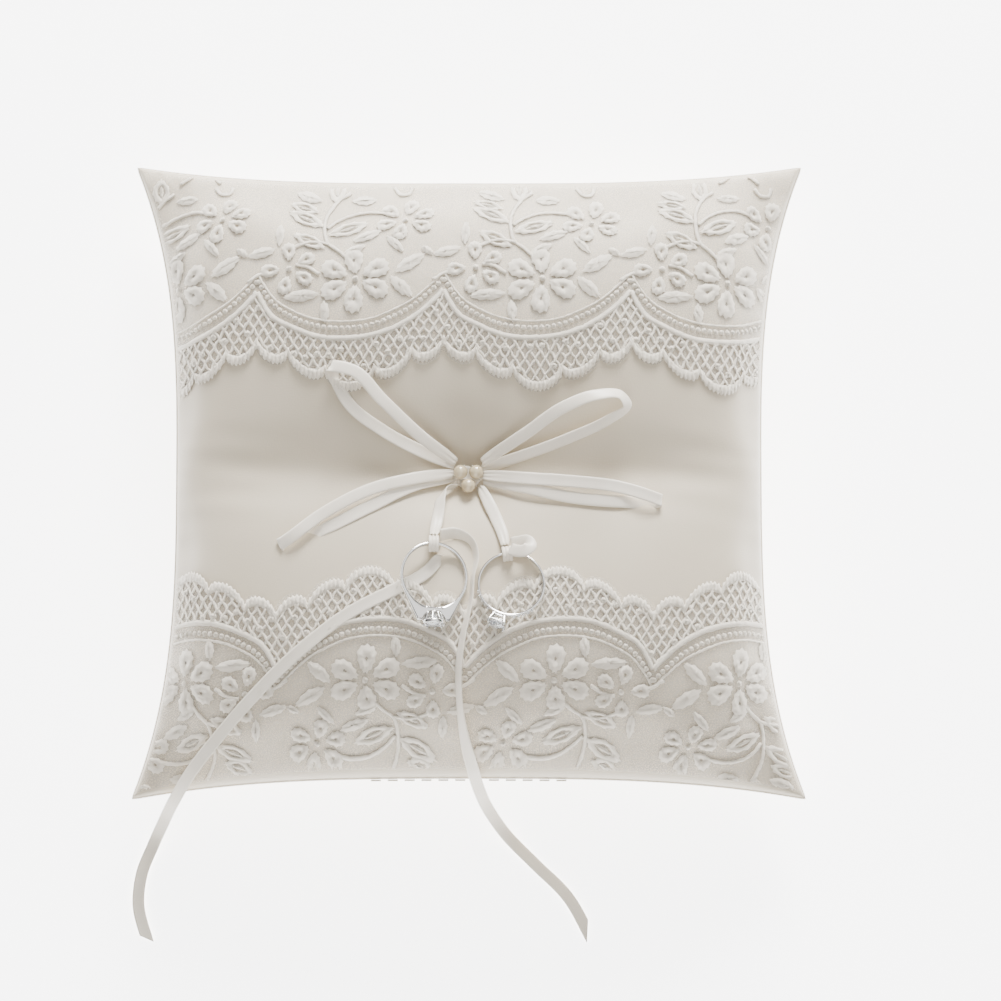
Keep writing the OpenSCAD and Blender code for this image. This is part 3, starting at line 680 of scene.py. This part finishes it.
def spray():
    """One repeat's flowers, leaves and stems."""
    parts = flower((25.5, 32.5), [(26, 26.4), (31.6, 29.4), (31.6, 35.2), (26, 38.2), (19.6, 35.4),
                                  (19.8, 29.8)], 8.2, 7.2, 0.14)
    parts += flower((44.8, 35.8), [(46, 30.8), (40.6, 33), (40, 38.6), (45, 41.2), (50.4, 35.4)],
                    5.6, 5.2, 0.2)
    parts += flower((11, 52.2), [(6.5, 49.8), (12.4, 47.8), (5.6, 54.4), (9.6, 57.4), (16.6, 51),
                                 (15.4, 56)], 6.0, 5.6, 0.18)
    for base, tip, width in [((15.5, 33), (9, 27), 3.6), ((14, 34.5), (5.4, 40), 3.8),
                             ((36, 28), (46.5, 27.2), 3.4), ((34.6, 26), (34.2, 19.6), 2.8),
                             ((18, 48.7), (26.4, 45), 3.4), ((16.5, 46.5), (11.6, 40.5), 2.4),
                             ((49, 42), (57, 39.8), 3.2), ((57, 39.8), (60.4, 42.4), 2.2),
                             ((48, 43), (47.5, 50.8), 2.6), ((20, 60.6), (27.4, 60.4), 3.0),
                             ((36.4, 60.6), (44, 63), 3.2), ((29, 40.5), (22.5, 43.5), 2.6)]:
        parts.append(leaf(base, tip, width))
    for base, tip, width in [((34.5, 42.5), (43.8, 47.4), 4.4), ((33.5, 47.5), (22, 52.2), 4.6),
                             ((35, 51), (45.6, 56.6), 4.8), ((32, 59.8), (32, 68), 5.0),
                             ((37, 56.6), (45.4, 59.4), 3.8)]:
        parts.append(leaf(base, tip, width, eye=0.5))
        parts.append(leaf(np.add(base, np.subtract(tip, base) * 0.25),
                          np.add(base, np.subtract(tip, base) * 0.75), width * 0.22, height=0.35))
    for points in [[(28.5, 39.5), (31, 42), (33.5, 44), (34.5, 47), (34.8, 51), (34.3, 55), (33, 58),
                    (31, 61), (28, 63)], [(14, 54.5), (20, 56), (26, 55.5), (31, 53), (34, 50)],
                   [(51, 35), (54, 34), (57, 32)], [(13.5, 66), (16, 68), (21, 68.5), (26, 66)],
                   [(15, 64.5), (13, 62.4), (10.4, 62.6), (9.6, 65)], [(36, 34), (40, 36.5), (43, 37)],
                   [(33.5, 44), (38, 44.6), (45, 42)]]:
        parts.append(cord_stitch([(u, t, 0) for u, t in points], 1.2, 0.6))
    return parts


def border():
    """One repeat's two arches: a thick rib, and a row of knots with one fine rib beside it."""
    second = [[u, t + 1.9, 0] for u, t, _ in BEADED_ARCH]
    return [cord_stitch(ARCH[1:-1], 1.7, 0.75), *beads(BEADED_ARCH, 1.75, 1.5),
            cord_stitch(second, 0.7, 0.4)]


def scallop_edge():
    """The free edge of the whole trim: satin stitches that stand across a narrow band."""
    u = np.arange(-130, 130, 0.3)
    v = np.linspace(0, 1, 7)[None, :]
    comb = np.cos(u / STITCH_PITCH * 2 * math.pi)[:, None]
    t = free_edge(u)[:, None] - 0.35 * comb * (1 - v) + v * SCALLOP_BAND
    rise = 0.95 * np.sqrt(np.maximum(0, 1 - (2 * v - 1) ** 4)) * (0.76 + 0.24 * comb)
    flat = np.stack([np.broadcast_to(u[:, None], t.shape), t, rise], -1).reshape(-1, 3)
    return [(flat, grid_faces(len(u), v.size).tolist(), flat[:, :2])]


def net():
    """The thread net between the scalloped edge and the first arch: two families of slanting
    lines, each cut off where it leaves that strip, and a knot here and there."""
    parts = []
    t = np.arange(0, 32, 0.8)
    for way in (-1, 1):
        for c in np.arange(-135, 135, NET_PITCH):
            u = c + way * NET_SLANT * (t - 16)
            inside = (t > free_edge(u) + 1.6) & (t < arch_t(u) + 0.5)
            edges = np.flatnonzero(np.diff(np.concatenate([[0], inside.astype(int), [0]])))
            for first, last in zip(edges[::2], edges[1::2]):
                if last - first > 2:
                    pull = 0.28 * np.sin(2.3 * t + 5 * c) * np.sin(0.9 * c + way)
                    run = np.stack([(u + pull)[first:last], t[first:last], 0 * t[first:last]], 1)
                    parts.append(cord_stitch(run, 0.85, 0.5, step=0.9))
    rng = np.random.default_rng(5)
    for u in np.arange(-120, 120, 3.4):
        low, high = free_edge(np.array([u]))[0] + 3.4, arch_t(np.array([u]))[0] - 1.5
        if high > low:
            at = (u, low + (high - low) * rng.random())
            parts.append(petal(at, (1, 0), 2.0, 1.8, height=0.6, point=0))
    return parts


def embroider(name, trim, parts, repeats, material):
    """One piece from all the stitched parts, at each repeat, with the yarn a little loose, laid
    on the cushion; what would reach past the seams is cut off."""
    shift = [np.array([REPEAT * k, 0, 0]) for k in repeats]
    count = sum(len(part[0]) for part in parts)
    flat = np.concatenate([part[0] + move for move in shift for part in parts])
    loose = np.random.default_rng(11).normal(0, 1, flat.shape)
    flat[:, :2] += YARN_LOOSE * loose[:, :2]
    flat[:, 2] *= 1 + 0.15 * loose[:, 2]
    uv = np.concatenate([part[2] for _ in shift for part in parts])
    starts = np.cumsum([0] + [len(part[0]) for part in parts][:-1])
    faces = [[i + start + count * k for i in face][::-1] for k in range(len(shift))
             for start, part in zip(starts, parts) for face in part[1]]
    at, inside = sewn_down(trim, flat)
    faces = [face for face in faces if all(inside[face])]
    used = np.zeros(len(at), bool)
    used[np.concatenate(faces)] = True
    renumber = np.cumsum(used) - 1
    return new_piece(name, at[used], [renumber[face].tolist() for face in faces], material,
                     uv=uv[used])


def embroidery_cotton():
    """Mercerised cotton stitches: threads 0.3 mm apart across each shape, with a slight gloss."""
    made, tree, shader = finish_material("embroidery_cotton", Roughness=0.58, Sheen_Weight=0.4,
                                         Sheen_Roughness=0.4)
    place = add(tree, "TexCoord")
    lie = add(tree, "Mapping", {"Scale": (2.1, 0.15, 1)}, {"Vector": place.outputs["UV"]})
    stitches = add(tree, "TexWave", {"Scale": 0.5, "Distortion": 1.2, "Detail": 1.0},
                   {"Vector": lie.outputs["Vector"]})
    tint(tree, shader, "f3ebdc", "dacfbb", stitches.outputs["Fac"])
    relief(tree, shader, stitches.outputs["Fac"], 0.12, 0.7)
    return made


def tulle():
    """Fine bobbin net: see-through cells about 0.6 mm across between pale threads."""
    made, tree, shader = finish_material("tulle", Roughness=0.75, Sheen_Weight=0.3)
    place = add(tree, "TexCoord")
    size = add(tree, "Mapping", {"Scale": (0.9, 1.35, 1)}, {"Vector": place.outputs["UV"]})
    cells = add(tree, "TexVoronoi", {"Scale": 1.4, "Randomness": 0.9}, {"Vector": size.outputs["Vector"]},
                feature="DISTANCE_TO_EDGE")
    thread = add(tree, "MapRange", {"From Min": 0.05, "From Max": 0.24, "To Min": 0.34, "To Max": 0.14},
                 {"Value": cells.outputs["Distance"]})
    tree.links.new(thread.outputs["Result"], shader.inputs["Alpha"])
    shade = add(tree, "TexNoise", {"Scale": 0.3}, {"Vector": place.outputs["UV"]})
    tint(tree, shader, "f3ebdd", "e6ddcd", shade.outputs["Fac"])
    return made


cotton_material, tulle_material = embroidery_cotton(), tulle()
for trim, repeats in (("head", (-3, -2, -1, 0, 1)), ("foot", (-2, -1, 0, 1, 2))):
    x0, y0, way = TRIM_START[trim]
    go = np.linspace(-TRIM_P, TRIM_P, 220)
    reach = np.linspace(0, 1, 70)[None, :]
    x = go * (HALF_W - SIDE_PULL)
    q_free = way * (y0 + 1.2 + free_edge((x0 - x) * way)) / HALF_D
    q = q_free[:, None] + (way * TRIM_Q - q_free[:, None]) * reach
    p = np.broadcast_to(go[:, None], q.shape)
    at = front_surface(p, q, TULLE_LIFT)
    uv = np.stack([at[..., 0], at[..., 1]], -1).reshape(-1, 2)
    faces = grid_faces(*q.shape)
    ground = new_piece("tulle_" + trim, at.reshape(-1, 3),
                       (faces if way < 0 else faces[:, ::-1]).tolist(), tulle_material,
                       uv=uv, replaces=("lace_trim_" + trim,))
    stitched = [embroider("lace_flowers_" + trim, trim, spray(), repeats, cotton_material),
                embroider("lace_arches_" + trim, trim, border(), repeats, cotton_material),
                embroider("lace_scallops_" + trim, trim, scallop_edge(), (0,), cotton_material),
                embroider("lace_net_" + trim, trim, net(), (0,), cotton_material)]


# ---------------------------------------------------------------------------------------------
# The middle of the bow: the ribbon's folds drawn into a small pleated rosette that the tufting
# thread holds down, and the wrapped ribbon that holds each ring.
GATHER_PLEATS = 9
DISH_RINGS, DISH_SPOKES = 12, 90


def rosette():
    """A low pleated dish: radius and height carry a wave round the axis, and the middle is sunk
    under the pearls."""
    low, high = (np.array(corner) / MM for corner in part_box("bow_gather"))
    middle, radius = (low + high) / 2, (high[0] - low[0]) / 2
    r = np.linspace(0.04, 1, DISH_RINGS)[:, None]
    a = round_steps(DISH_SPOKES)[None, :]
    pleat = np.cos(GATHER_PLEATS * a + 2.2 * r)
    reach = 0.82 * radius * r * (1 + 0.07 * r * np.cos(3 * a + 0.6))
    height = (high[2] - low[2]) * (0.2 + 0.5 * r * r * np.sqrt(1.02 - r ** 8) + 0.15 * r * pleat)
    top = np.stack([middle[0] + reach * np.cos(a), middle[1] + reach * np.sin(a), low[2] + height], -1)
    under = top[::-1] * [1, 1, 0] + [0, 0, low[2]]
    points = np.concatenate([top, under]).reshape(-1, 3)
    return points, tube_faces(2 * DISH_RINGS, DISH_SPOKES)


points, faces = rosette()
new_piece("ribbon_rosette", points, faces, ribbon_material, uv=points[:, :2],
          replaces=("bow_gather",))


def turned(profile, count):
    """A closed profile of (radius, height) points turned about Z."""
    profile = np.array(profile, float)
    a = round_steps(count)[:, None]
    points = np.stack([profile[:, 0] * np.cos(a), profile[:, 0] * np.sin(a),
                       np.broadcast_to(profile[:, 1], (count, len(profile)))], -1)
    return points.reshape(-1, 3), ring_faces(count, len(profile))[:, ::-1]


def along_axis(points, axis, centre):
    """Points drawn about Z, turned so that Z lies along axis, and moved to centre."""
    z = unit(np.array(axis, float))
    x = unit(np.cross([0.3, 0.5, 0.81], z))
    return points @ np.stack([x, np.cross(z, x), z]) + centre


def rope_profile(inner, outer, length, turns):
    """The section of ribbon wound round an eye: a bore, and one rounded ridge for each turn."""
    z = np.linspace(-length / 2, length / 2, 8 * turns + 1)
    wave = np.abs(np.sin(math.pi * (z / length + 0.5) * turns))
    ridges = np.stack([inner + (outer - inner) * (0.55 + 0.45 * np.sqrt(wave)), z], -1)
    return np.concatenate([[[inner, length / 2], [inner, -length / 2]], ridges])


WRAP_T, WRAP_L, WRAP_TURNS = 0.55, 3.0, 3
# Each eye has its centre, the radius of its bore and the bearing of its axis in degrees.
EYES = {"left": ((-9.9, -22.7, 56.46), 1.9, 0.0), "right": ((11.44, -25.45, 54.32), 1.7, 7.0)}
for side, (tie, bore_r, turn) in EYES.items():
    points, faces = turned(rope_profile(bore_r, bore_r + WRAP_T, WRAP_L, WRAP_TURNS), 48)
    axis = (math.cos(math.radians(turn)), math.sin(math.radians(turn)), 0)
    new_piece("ribbon_eye_" + side, along_axis(points, axis, tie), faces.tolist(), ribbon_material,
              uv=points[:, :2] * 2, replaces=("ribbon_wrap_" + side,))


# ---------------------------------------------------------------------------------------------
# Three imitation pearls, 4.2 mm across, drilled and sewn on the rosette in a close triangle.
PEARL_R, PEARL_HOLE_R, PEARL_THREAD_R = 2.1, 0.3, 0.14
THREAD_DROP, THREAD_SIDES = 0.8, 8


def yarn(path, radius):
    """A round thread through the path's points, closed at both ends."""
    path = smooth_line(path, 0.25)
    ahead = unit(np.gradient(path, axis=0))
    side = unit(np.cross(ahead, [0.31, 0.17, 0.05]))
    angle = round_steps(THREAD_SIDES)[None, :, None]
    round_it = np.cos(angle) * side[:, None] + np.sin(angle) * np.cross(ahead, side)[:, None]
    points = path[:, None] + radius * round_it
    return points.reshape(-1, 3), tube_faces(len(path), THREAD_SIDES)


def pearl_lustre():
    """Pearl lacquer over a round core: cream, with a clear coat and a faint cloudiness."""
    made, tree, shader = finish_material("pearl_lustre", Roughness=0.22, Coat_Weight=1.0,
                                         Coat_Roughness=0.05, Coat_IOR=1.6, Specular_IOR_Level=0.6)
    place = add(tree, "TexCoord")
    cloud = add(tree, "TexNoise", {"Scale": 420.0, "Detail": 3.0}, {"Vector": place.outputs["Object"]})
    tint(tree, shader, "d2c3a2", "b5a380", cloud.outputs["Fac"])
    relief(tree, shader, cloud.outputs["Fac"], 0.02, 0.3)
    return made


pearl_material = pearl_lustre()
mouth = math.asin(PEARL_HOLE_R / PEARL_R)
swing = np.linspace(-math.pi / 2 + mouth, math.pi / 2 - mouth, 33)
bead = np.stack([PEARL_R * np.cos(swing), PEARL_R * np.sin(swing)], -1)
for k, side in enumerate(("left", "right", "foot")):
    low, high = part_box("pearl_" + side)
    middle = np.array((low + high) / 2) / MM
    way = math.radians(60 - 120 * k)
    through = np.array([math.cos(way), math.sin(way), 0])
    points, faces = turned(bead, 48)
    new_piece("pearl_bead_" + side, along_axis(points, through, middle), faces.tolist(),
              pearl_material, replaces=("pearl_" + side,))
    down = np.array([0, 0, PEARL_R + THREAD_DROP])
    half = [(1.04, 0), (1.14, 0.35), (1.08, 1)]
    stitch = [middle - out * PEARL_R * through - drop * down for out, drop in half[::-1]]
    stitch += [middle, *[middle + out * PEARL_R * through - drop * down for out, drop in half]]
    points, faces = yarn(stitch, PEARL_THREAD_R)
    new_piece("pearl_thread_" + side, points, faces, thread_material,
              replaces=("pearl_stitches",) if k == 0 else ())


# ---------------------------------------------------------------------------------------------
# The round-stone ring: a polished white-metal band, 18.4 mm inside, whose cathedral shoulders
# run down to a bezel with claws and a brilliant 6 mm across. It swings in the left eye.
LEFT_TIE = np.array(EYES["left"][0])
LEFT_BORE, LEFT_T, LEFT_WIDTH = 18.4, 1.0, 2.0
LEFT_STEPS = 360
LEFT_TILT, LEFT_YAW = math.radians(8), math.radians(16)
LEFT_SEAT = LEFT_BORE / 2 + 4.1
LEFT_STONE_R = 3.0
SHOULDER_OUT, SHOULDER_Y, SEAT_HALF = 0.85, -3.0, 4.9
ARCH_DROP, ARCH_GAP = 1.2, 0.75


def spin(axis, angle):
    """The matrix that turns column points about X, Y or Z by the right-hand rule."""
    c, s = math.cos(angle), math.sin(angle)
    return {"x": np.array([[1, 0, 0], [0, c, -s], [0, s, c]]),
            "y": np.array([[c, 0, s], [0, 1, 0], [-s, 0, c]]),
            "z": np.array([[c, -s, 0], [s, c, 0], [0, 0, 1]])}[axis]


def white_metal():
    """Polished white metal: bright, with slight cloudy handling marks 1 mm across."""
    made, tree, shader = finish_material("white_metal", Metallic=1.0, Roughness=0.12)
    place = add(tree, "TexCoord")
    marks = add(tree, "TexNoise", {"Scale": 900.0, "Detail": 4.0}, {"Vector": place.outputs["Object"]})
    tint(tree, shader, "f2f0ec", "dddbd7", marks.outputs["Fac"])
    wear = add(tree, "MapRange", {"To Min": 0.08, "To Max": 0.24}, {"Value": marks.outputs["Fac"]})
    tree.links.new(wear.outputs["Result"], shader.inputs["Roughness"])
    relief(tree, shader, marks.outputs["Fac"], 0.01, 0.4)
    return made


def cut_crystal():
    """Clear cut stone: very smooth, strongly refracting, with a trace of cool tint."""
    made, tree, shader = finish_material("cut_crystal", Roughness=0.02, IOR=2.1,
                                         Transmission_Weight=0.75)
    place = add(tree, "TexCoord")
    depth = add(tree, "TexNoise", {"Scale": 700.0}, {"Vector": place.outputs["Object"]})
    tint(tree, shader, "ffffff", "e4eaf0", depth.outputs["Fac"])
    return made


def hoop(bore_r, thick, width, count=150):
    """A band about Z whose thickness, one value for each step round it from +X, may vary: its
    section is a superellipse, flatter inside and outside than at its edges."""
    a = round_steps(count)[:, None]
    s = round_steps(20)
    across = np.sign(np.sin(s)) * np.abs(np.sin(s)) ** 0.6 * width / 2
    out = 0.5 + 0.5 * np.sign(np.cos(s)) * np.abs(np.cos(s)) ** 0.45
    r = bore_r + out * np.broadcast_to(thick, count)[:, None]
    points = np.stack([r * np.cos(a), r * np.sin(a), np.broadcast_to(across, r.shape)], -1)
    return points.reshape(-1, 3), ring_faces(count, len(s))[:, ::-1]


def bar(path, half_wide, half_thick, count=10):
    """A bar along path, rows of (x, y, z) in the ring's plane: an oval section whose two half
    sizes, one across the ring's plane and one within it, are given at every row."""
    path = np.asarray(path, float)
    ahead = unit(np.gradient(path, axis=0))
    over = np.broadcast_to([0.0, 0.0, 1.0], path.shape)
    over = unit(over - ahead * (over * ahead).sum(-1, keepdims=True))
    inward = np.cross(ahead, over)
    s = round_steps(count)[None, :, None]
    points = (path[:, None] + over[:, None] * np.sin(s) * np.asarray(half_wide)[:, None, None]
              + inward[:, None] * np.cos(s) * np.asarray(half_thick)[:, None, None])
    return points.reshape(-1, 3), tube_faces(len(path), count)


def cathedral_thickness(count):
    """The band's thickness round it: its own, except where it fills out to two straight
    shoulders that lean in to the seat, and there it stops at an arch over the stone."""
    a = round_steps(count)
    x, y = np.abs(np.cos(a)), np.sin(a)
    top, foot = np.array([LEFT_BORE / 2 + SHOULDER_OUT, SHOULDER_Y]), np.array([SEAT_HALF, -LEFT_SEAT])
    normal = unit(np.array([top[1] - foot[1], foot[0] - top[0]]))
    lean = (normal @ top) / np.maximum(1e-3, normal[0] * x + normal[1] * y)
    level = LEFT_SEAT / np.maximum(1e-3, -y)
    arch_y, arch_r = LEFT_SEAT + ARCH_DROP, LEFT_STONE_R + ARCH_GAP
    under = np.maximum(0, arch_r ** 2 - (arch_y * x) ** 2)
    arch = np.where(arch_y * x < arch_r, -arch_y * y - np.sqrt(under), 99)
    reach = np.where(y < -0.28, np.minimum(np.minimum(lean, level), arch), 0)
    return np.maximum(LEFT_T, reach - LEFT_BORE / 2)


def claw(foot, tip, radius):
    """A round claw from foot to tip that leans out and bends over the stone's edge."""
    f = np.linspace(0, 1, 9)[:, None]
    foot, tip = np.array(foot, float), np.array(tip, float)
    bend = np.array([tip[0], 0, tip[2]]) * -0.16
    path = foot + (tip - foot) * f + bend * np.maximum(0, f - 0.75) * 4
    end = np.sqrt(np.maximum(0.05, 1 - f[:, 0] ** 8))
    return bar(path, radius * end, radius * end, 8)


def joined(shapes):
    """Several (points, faces) shapes as one."""
    points, faces, start = [], [], 0
    for shape_points, shape_faces in shapes:
        points.append(shape_points)
        faces += [[int(i) + start for i in face] for face in shape_faces]
        start += len(shape_points)
    return np.concatenate(points), faces


def brilliant(radius, sides):
    """A cut stone that looks along -Y: a table, star and kite facets down to the girdle, and a
    pavilion to its point; the flat facets of the hull of those points."""
    def ring(r, height, count, shift):
        """A ring of corners whose radius and height are shares of the stone's radius."""
        a = (np.arange(count) + shift) * 2 * math.pi / count
        out = r * radius
        return np.stack([out * np.cos(a), np.full(count, -height * radius), out * np.sin(a)], -1)

    corners = np.concatenate([ring(0.56, 0.34, sides, 0), ring(0.8, 0.22, sides, 0.5),
                              ring(1.0, 0.03, 2 * sides, 0), ring(1.0, -0.03, 2 * sides, 0),
                              ring(0.55, -0.48, sides, 0.5), [[0, 0.86 * radius, 0]]])
    shape = bpy.data.meshes.new("cut")
    work = bmesh.new()
    for corner in corners:
        work.verts.new(corner)
    bmesh.ops.convex_hull(work, input=work.verts)
    work.to_mesh(shape)
    work.free()
    points = np.zeros(len(shape.vertices) * 3)
    shape.vertices.foreach_get("co", points)
    return points.reshape(-1, 3), [list(face.vertices) for face in shape.polygons]


def place_left(points):
    """Ring points drawn about Z, with the setting towards -Y, put where the ring lies."""
    way = np.array([0, math.cos(LEFT_TILT), -math.sin(LEFT_TILT)])
    centre = LEFT_TIE - (LEFT_BORE + LEFT_T) / 2 * way
    return points @ (spin("x", -LEFT_TILT) @ spin("y", LEFT_YAW)).T + centre


metal_material, stone_material = white_metal(), cut_crystal()
points, faces = hoop(LEFT_BORE / 2, cathedral_thickness(LEFT_STEPS), LEFT_WIDTH, LEFT_STEPS)
new_piece("round_ring_band", place_left(points), faces.tolist(), metal_material, body="left_ring",
          replaces=("left_ring_band",))

bezel = np.array([[3.05, -0.2], [3.45, -0.2], [3.62, 0.1], [3.62, 0.8], [3.45, 1.0], [3.05, 1.0]])
cup, cup_faces = turned(bezel, 64)
cup = along_axis(cup, (0, -1, 0), (0, -LEFT_SEAT, 0))
base, base_faces = turned([[1.5, -0.25], [2.1, -0.25], [2.2, 0], [2.1, 0.25], [1.5, 0.25]], 48)
base = along_axis(base, (0, -1, 0), (0, -LEFT_SEAT + 2.6, 0))
claws = [claw((1.9 * math.cos(a), -LEFT_SEAT + 2.7, 1.9 * math.sin(a)),
              (3.5 * math.cos(a), -LEFT_SEAT - 1.7, 3.5 * math.sin(a)), 0.38)
         for a in np.radians(np.arange(22.5, 360, 45))]
points, faces = joined([(cup, cup_faces), (base, base_faces), *claws])
new_piece("round_ring_setting", place_left(points), faces, metal_material, body="left_ring",
          replaces=("left_ring_setting",))
points, faces = brilliant(LEFT_STONE_R, 8)
new_piece("round_ring_stone", place_left(points + [0, -LEFT_SEAT - 0.4, 0]), faces, stone_material,
          body="left_ring", replaces=("left_ring_stone",), smooth=False)


# ---------------------------------------------------------------------------------------------
# The prong ring: a thin polished band, 18.2 mm inside, with five small stones in seats on each
# side of a square, tapered head whose four claws hold a brilliant. It swings in the right eye.
RIGHT_TIE = np.array(EYES["right"][0])
RIGHT_BORE, RIGHT_T, RIGHT_WIDTH = 18.2, 0.8, 1.6
RIGHT_TILT, RIGHT_TURN, TIE_ANGLE = math.radians(14), math.radians(-20), math.radians(97)
RIGHT_HEAD = 2.8
ACCENT_COUNT, ACCENT_R = 5, 0.5
ACCENT_START, ACCENT_PITCH = 24, 8.2
RAIL_R, RAIL_STEPS, WIRE_SIDES = 0.24, 48, 8


def place_right(points):
    """Ring points drawn about Z, with the head towards -Y, put where the ring lies."""
    way = np.array([math.cos(TIE_ANGLE), math.sin(TIE_ANGLE) * math.cos(RIGHT_TILT),
                    -math.sin(TIE_ANGLE) * math.sin(RIGHT_TILT)])
    return (points @ (spin("x", -RIGHT_TILT) @ spin("z", RIGHT_TURN)).T
            + RIGHT_TIE - (RIGHT_BORE + RIGHT_T) / 2 * way)


def around_band(points, side, step):
    """Shapes drawn at the bottom of the band, turned round it to the seat of that number."""
    return points @ spin("z", side * math.radians(ACCENT_START + ACCENT_PITCH * step)).T


head_y = RIGHT_BORE / 2 + RIGHT_T
collar, collar_faces = turned([[0.42, -0.3], [0.62, -0.3], [0.62, 0.2], [0.56, 0.26], [0.42, 0.2]], 20)
collar = along_axis(collar, (0, -1, 0), (0, -head_y, 0))
seats = [(around_band(collar, side, step), collar_faces)
         for side in (-1, 1) for step in range(ACCENT_COUNT)]
points, faces = joined([hoop(RIGHT_BORE / 2, RIGHT_T, RIGHT_WIDTH), *seats])
new_piece("prong_ring_band", place_right(points), faces, metal_material, body="right_ring",
          replaces=("right_ring_band",))
small, small_faces = brilliant(ACCENT_R, 6)
stones = [(around_band(small + [0, -head_y - 0.1, 0], side, step), small_faces)
          for side in (-1, 1) for step in range(ACCENT_COUNT)]
points, faces = joined(stones)
new_piece("prong_ring_shoulder_stones", place_right(points), faces, stone_material,
          body="right_ring", replaces=("right_ring_accents",), smooth=False)


def square_rail(half, depth):
    """A square wire about the head's axis, half its side long from the middle, at that depth."""
    a = round_steps(RAIL_STEPS)
    reach = half / (np.abs(np.cos(a)) ** 6 + np.abs(np.sin(a)) ** 6) ** (1 / 6)
    s = round_steps(WIRE_SIDES)
    r = reach[:, None] + RAIL_R * np.cos(s)
    points = np.stack([r * np.cos(a)[:, None], np.broadcast_to(-depth + RAIL_R * np.sin(s), r.shape),
                       r * np.sin(a)[:, None]], -1)
    return points.reshape(-1, 3), ring_faces(RAIL_STEPS, WIRE_SIDES)


claws = [claw((x * RIGHT_HEAD * 0.5, -head_y + 0.2, z * RIGHT_HEAD * 0.5),
              (x * RIGHT_HEAD * 0.93, -head_y - 4.0, z * RIGHT_HEAD * 0.93), 0.4)
         for x in (-1, 1) for z in (-1, 1)]
points, faces = joined([square_rail(RIGHT_HEAD * 0.62, head_y + 0.65),
                        square_rail(RIGHT_HEAD * 0.86, head_y + 2.35), *claws])
new_piece("prong_ring_head", place_right(points), faces, metal_material, body="right_ring",
          replaces=("right_ring_head",))
points, faces = brilliant(RIGHT_HEAD * 0.85, 8)
new_piece("prong_ring_stone", place_right(points + [0, -head_y - 3, 0]), faces, stone_material,
          body="right_ring", replaces=("right_ring_stone",), smooth=False)


floor_material, _, floor_shader = finish_material("pale_floor", Roughness=0.9)
floor_shader.inputs["Base Color"].default_value = colour("fcfcfc")
floor_shader.inputs["Emission Color"].default_value = colour("ffffff")
floor_shader.inputs["Emission Strength"].default_value = 5.0
FLOOR_HALF = 40
floor_mesh = bpy.data.meshes.new("studio_floor")
floor_mesh.from_pydata([(x * FLOOR_HALF, y * FLOOR_HALF, -0.0003)
                        for x, y in ((-1, -1), (1, -1), (1, 1), (-1, 1))], [],
                       [(0, 1, 2, 3)])
floor_mesh.materials.append(floor_material)
floor = bpy.data.objects.new("studio_floor", floor_mesh)
bpy.context.scene.collection.objects.link(floor)
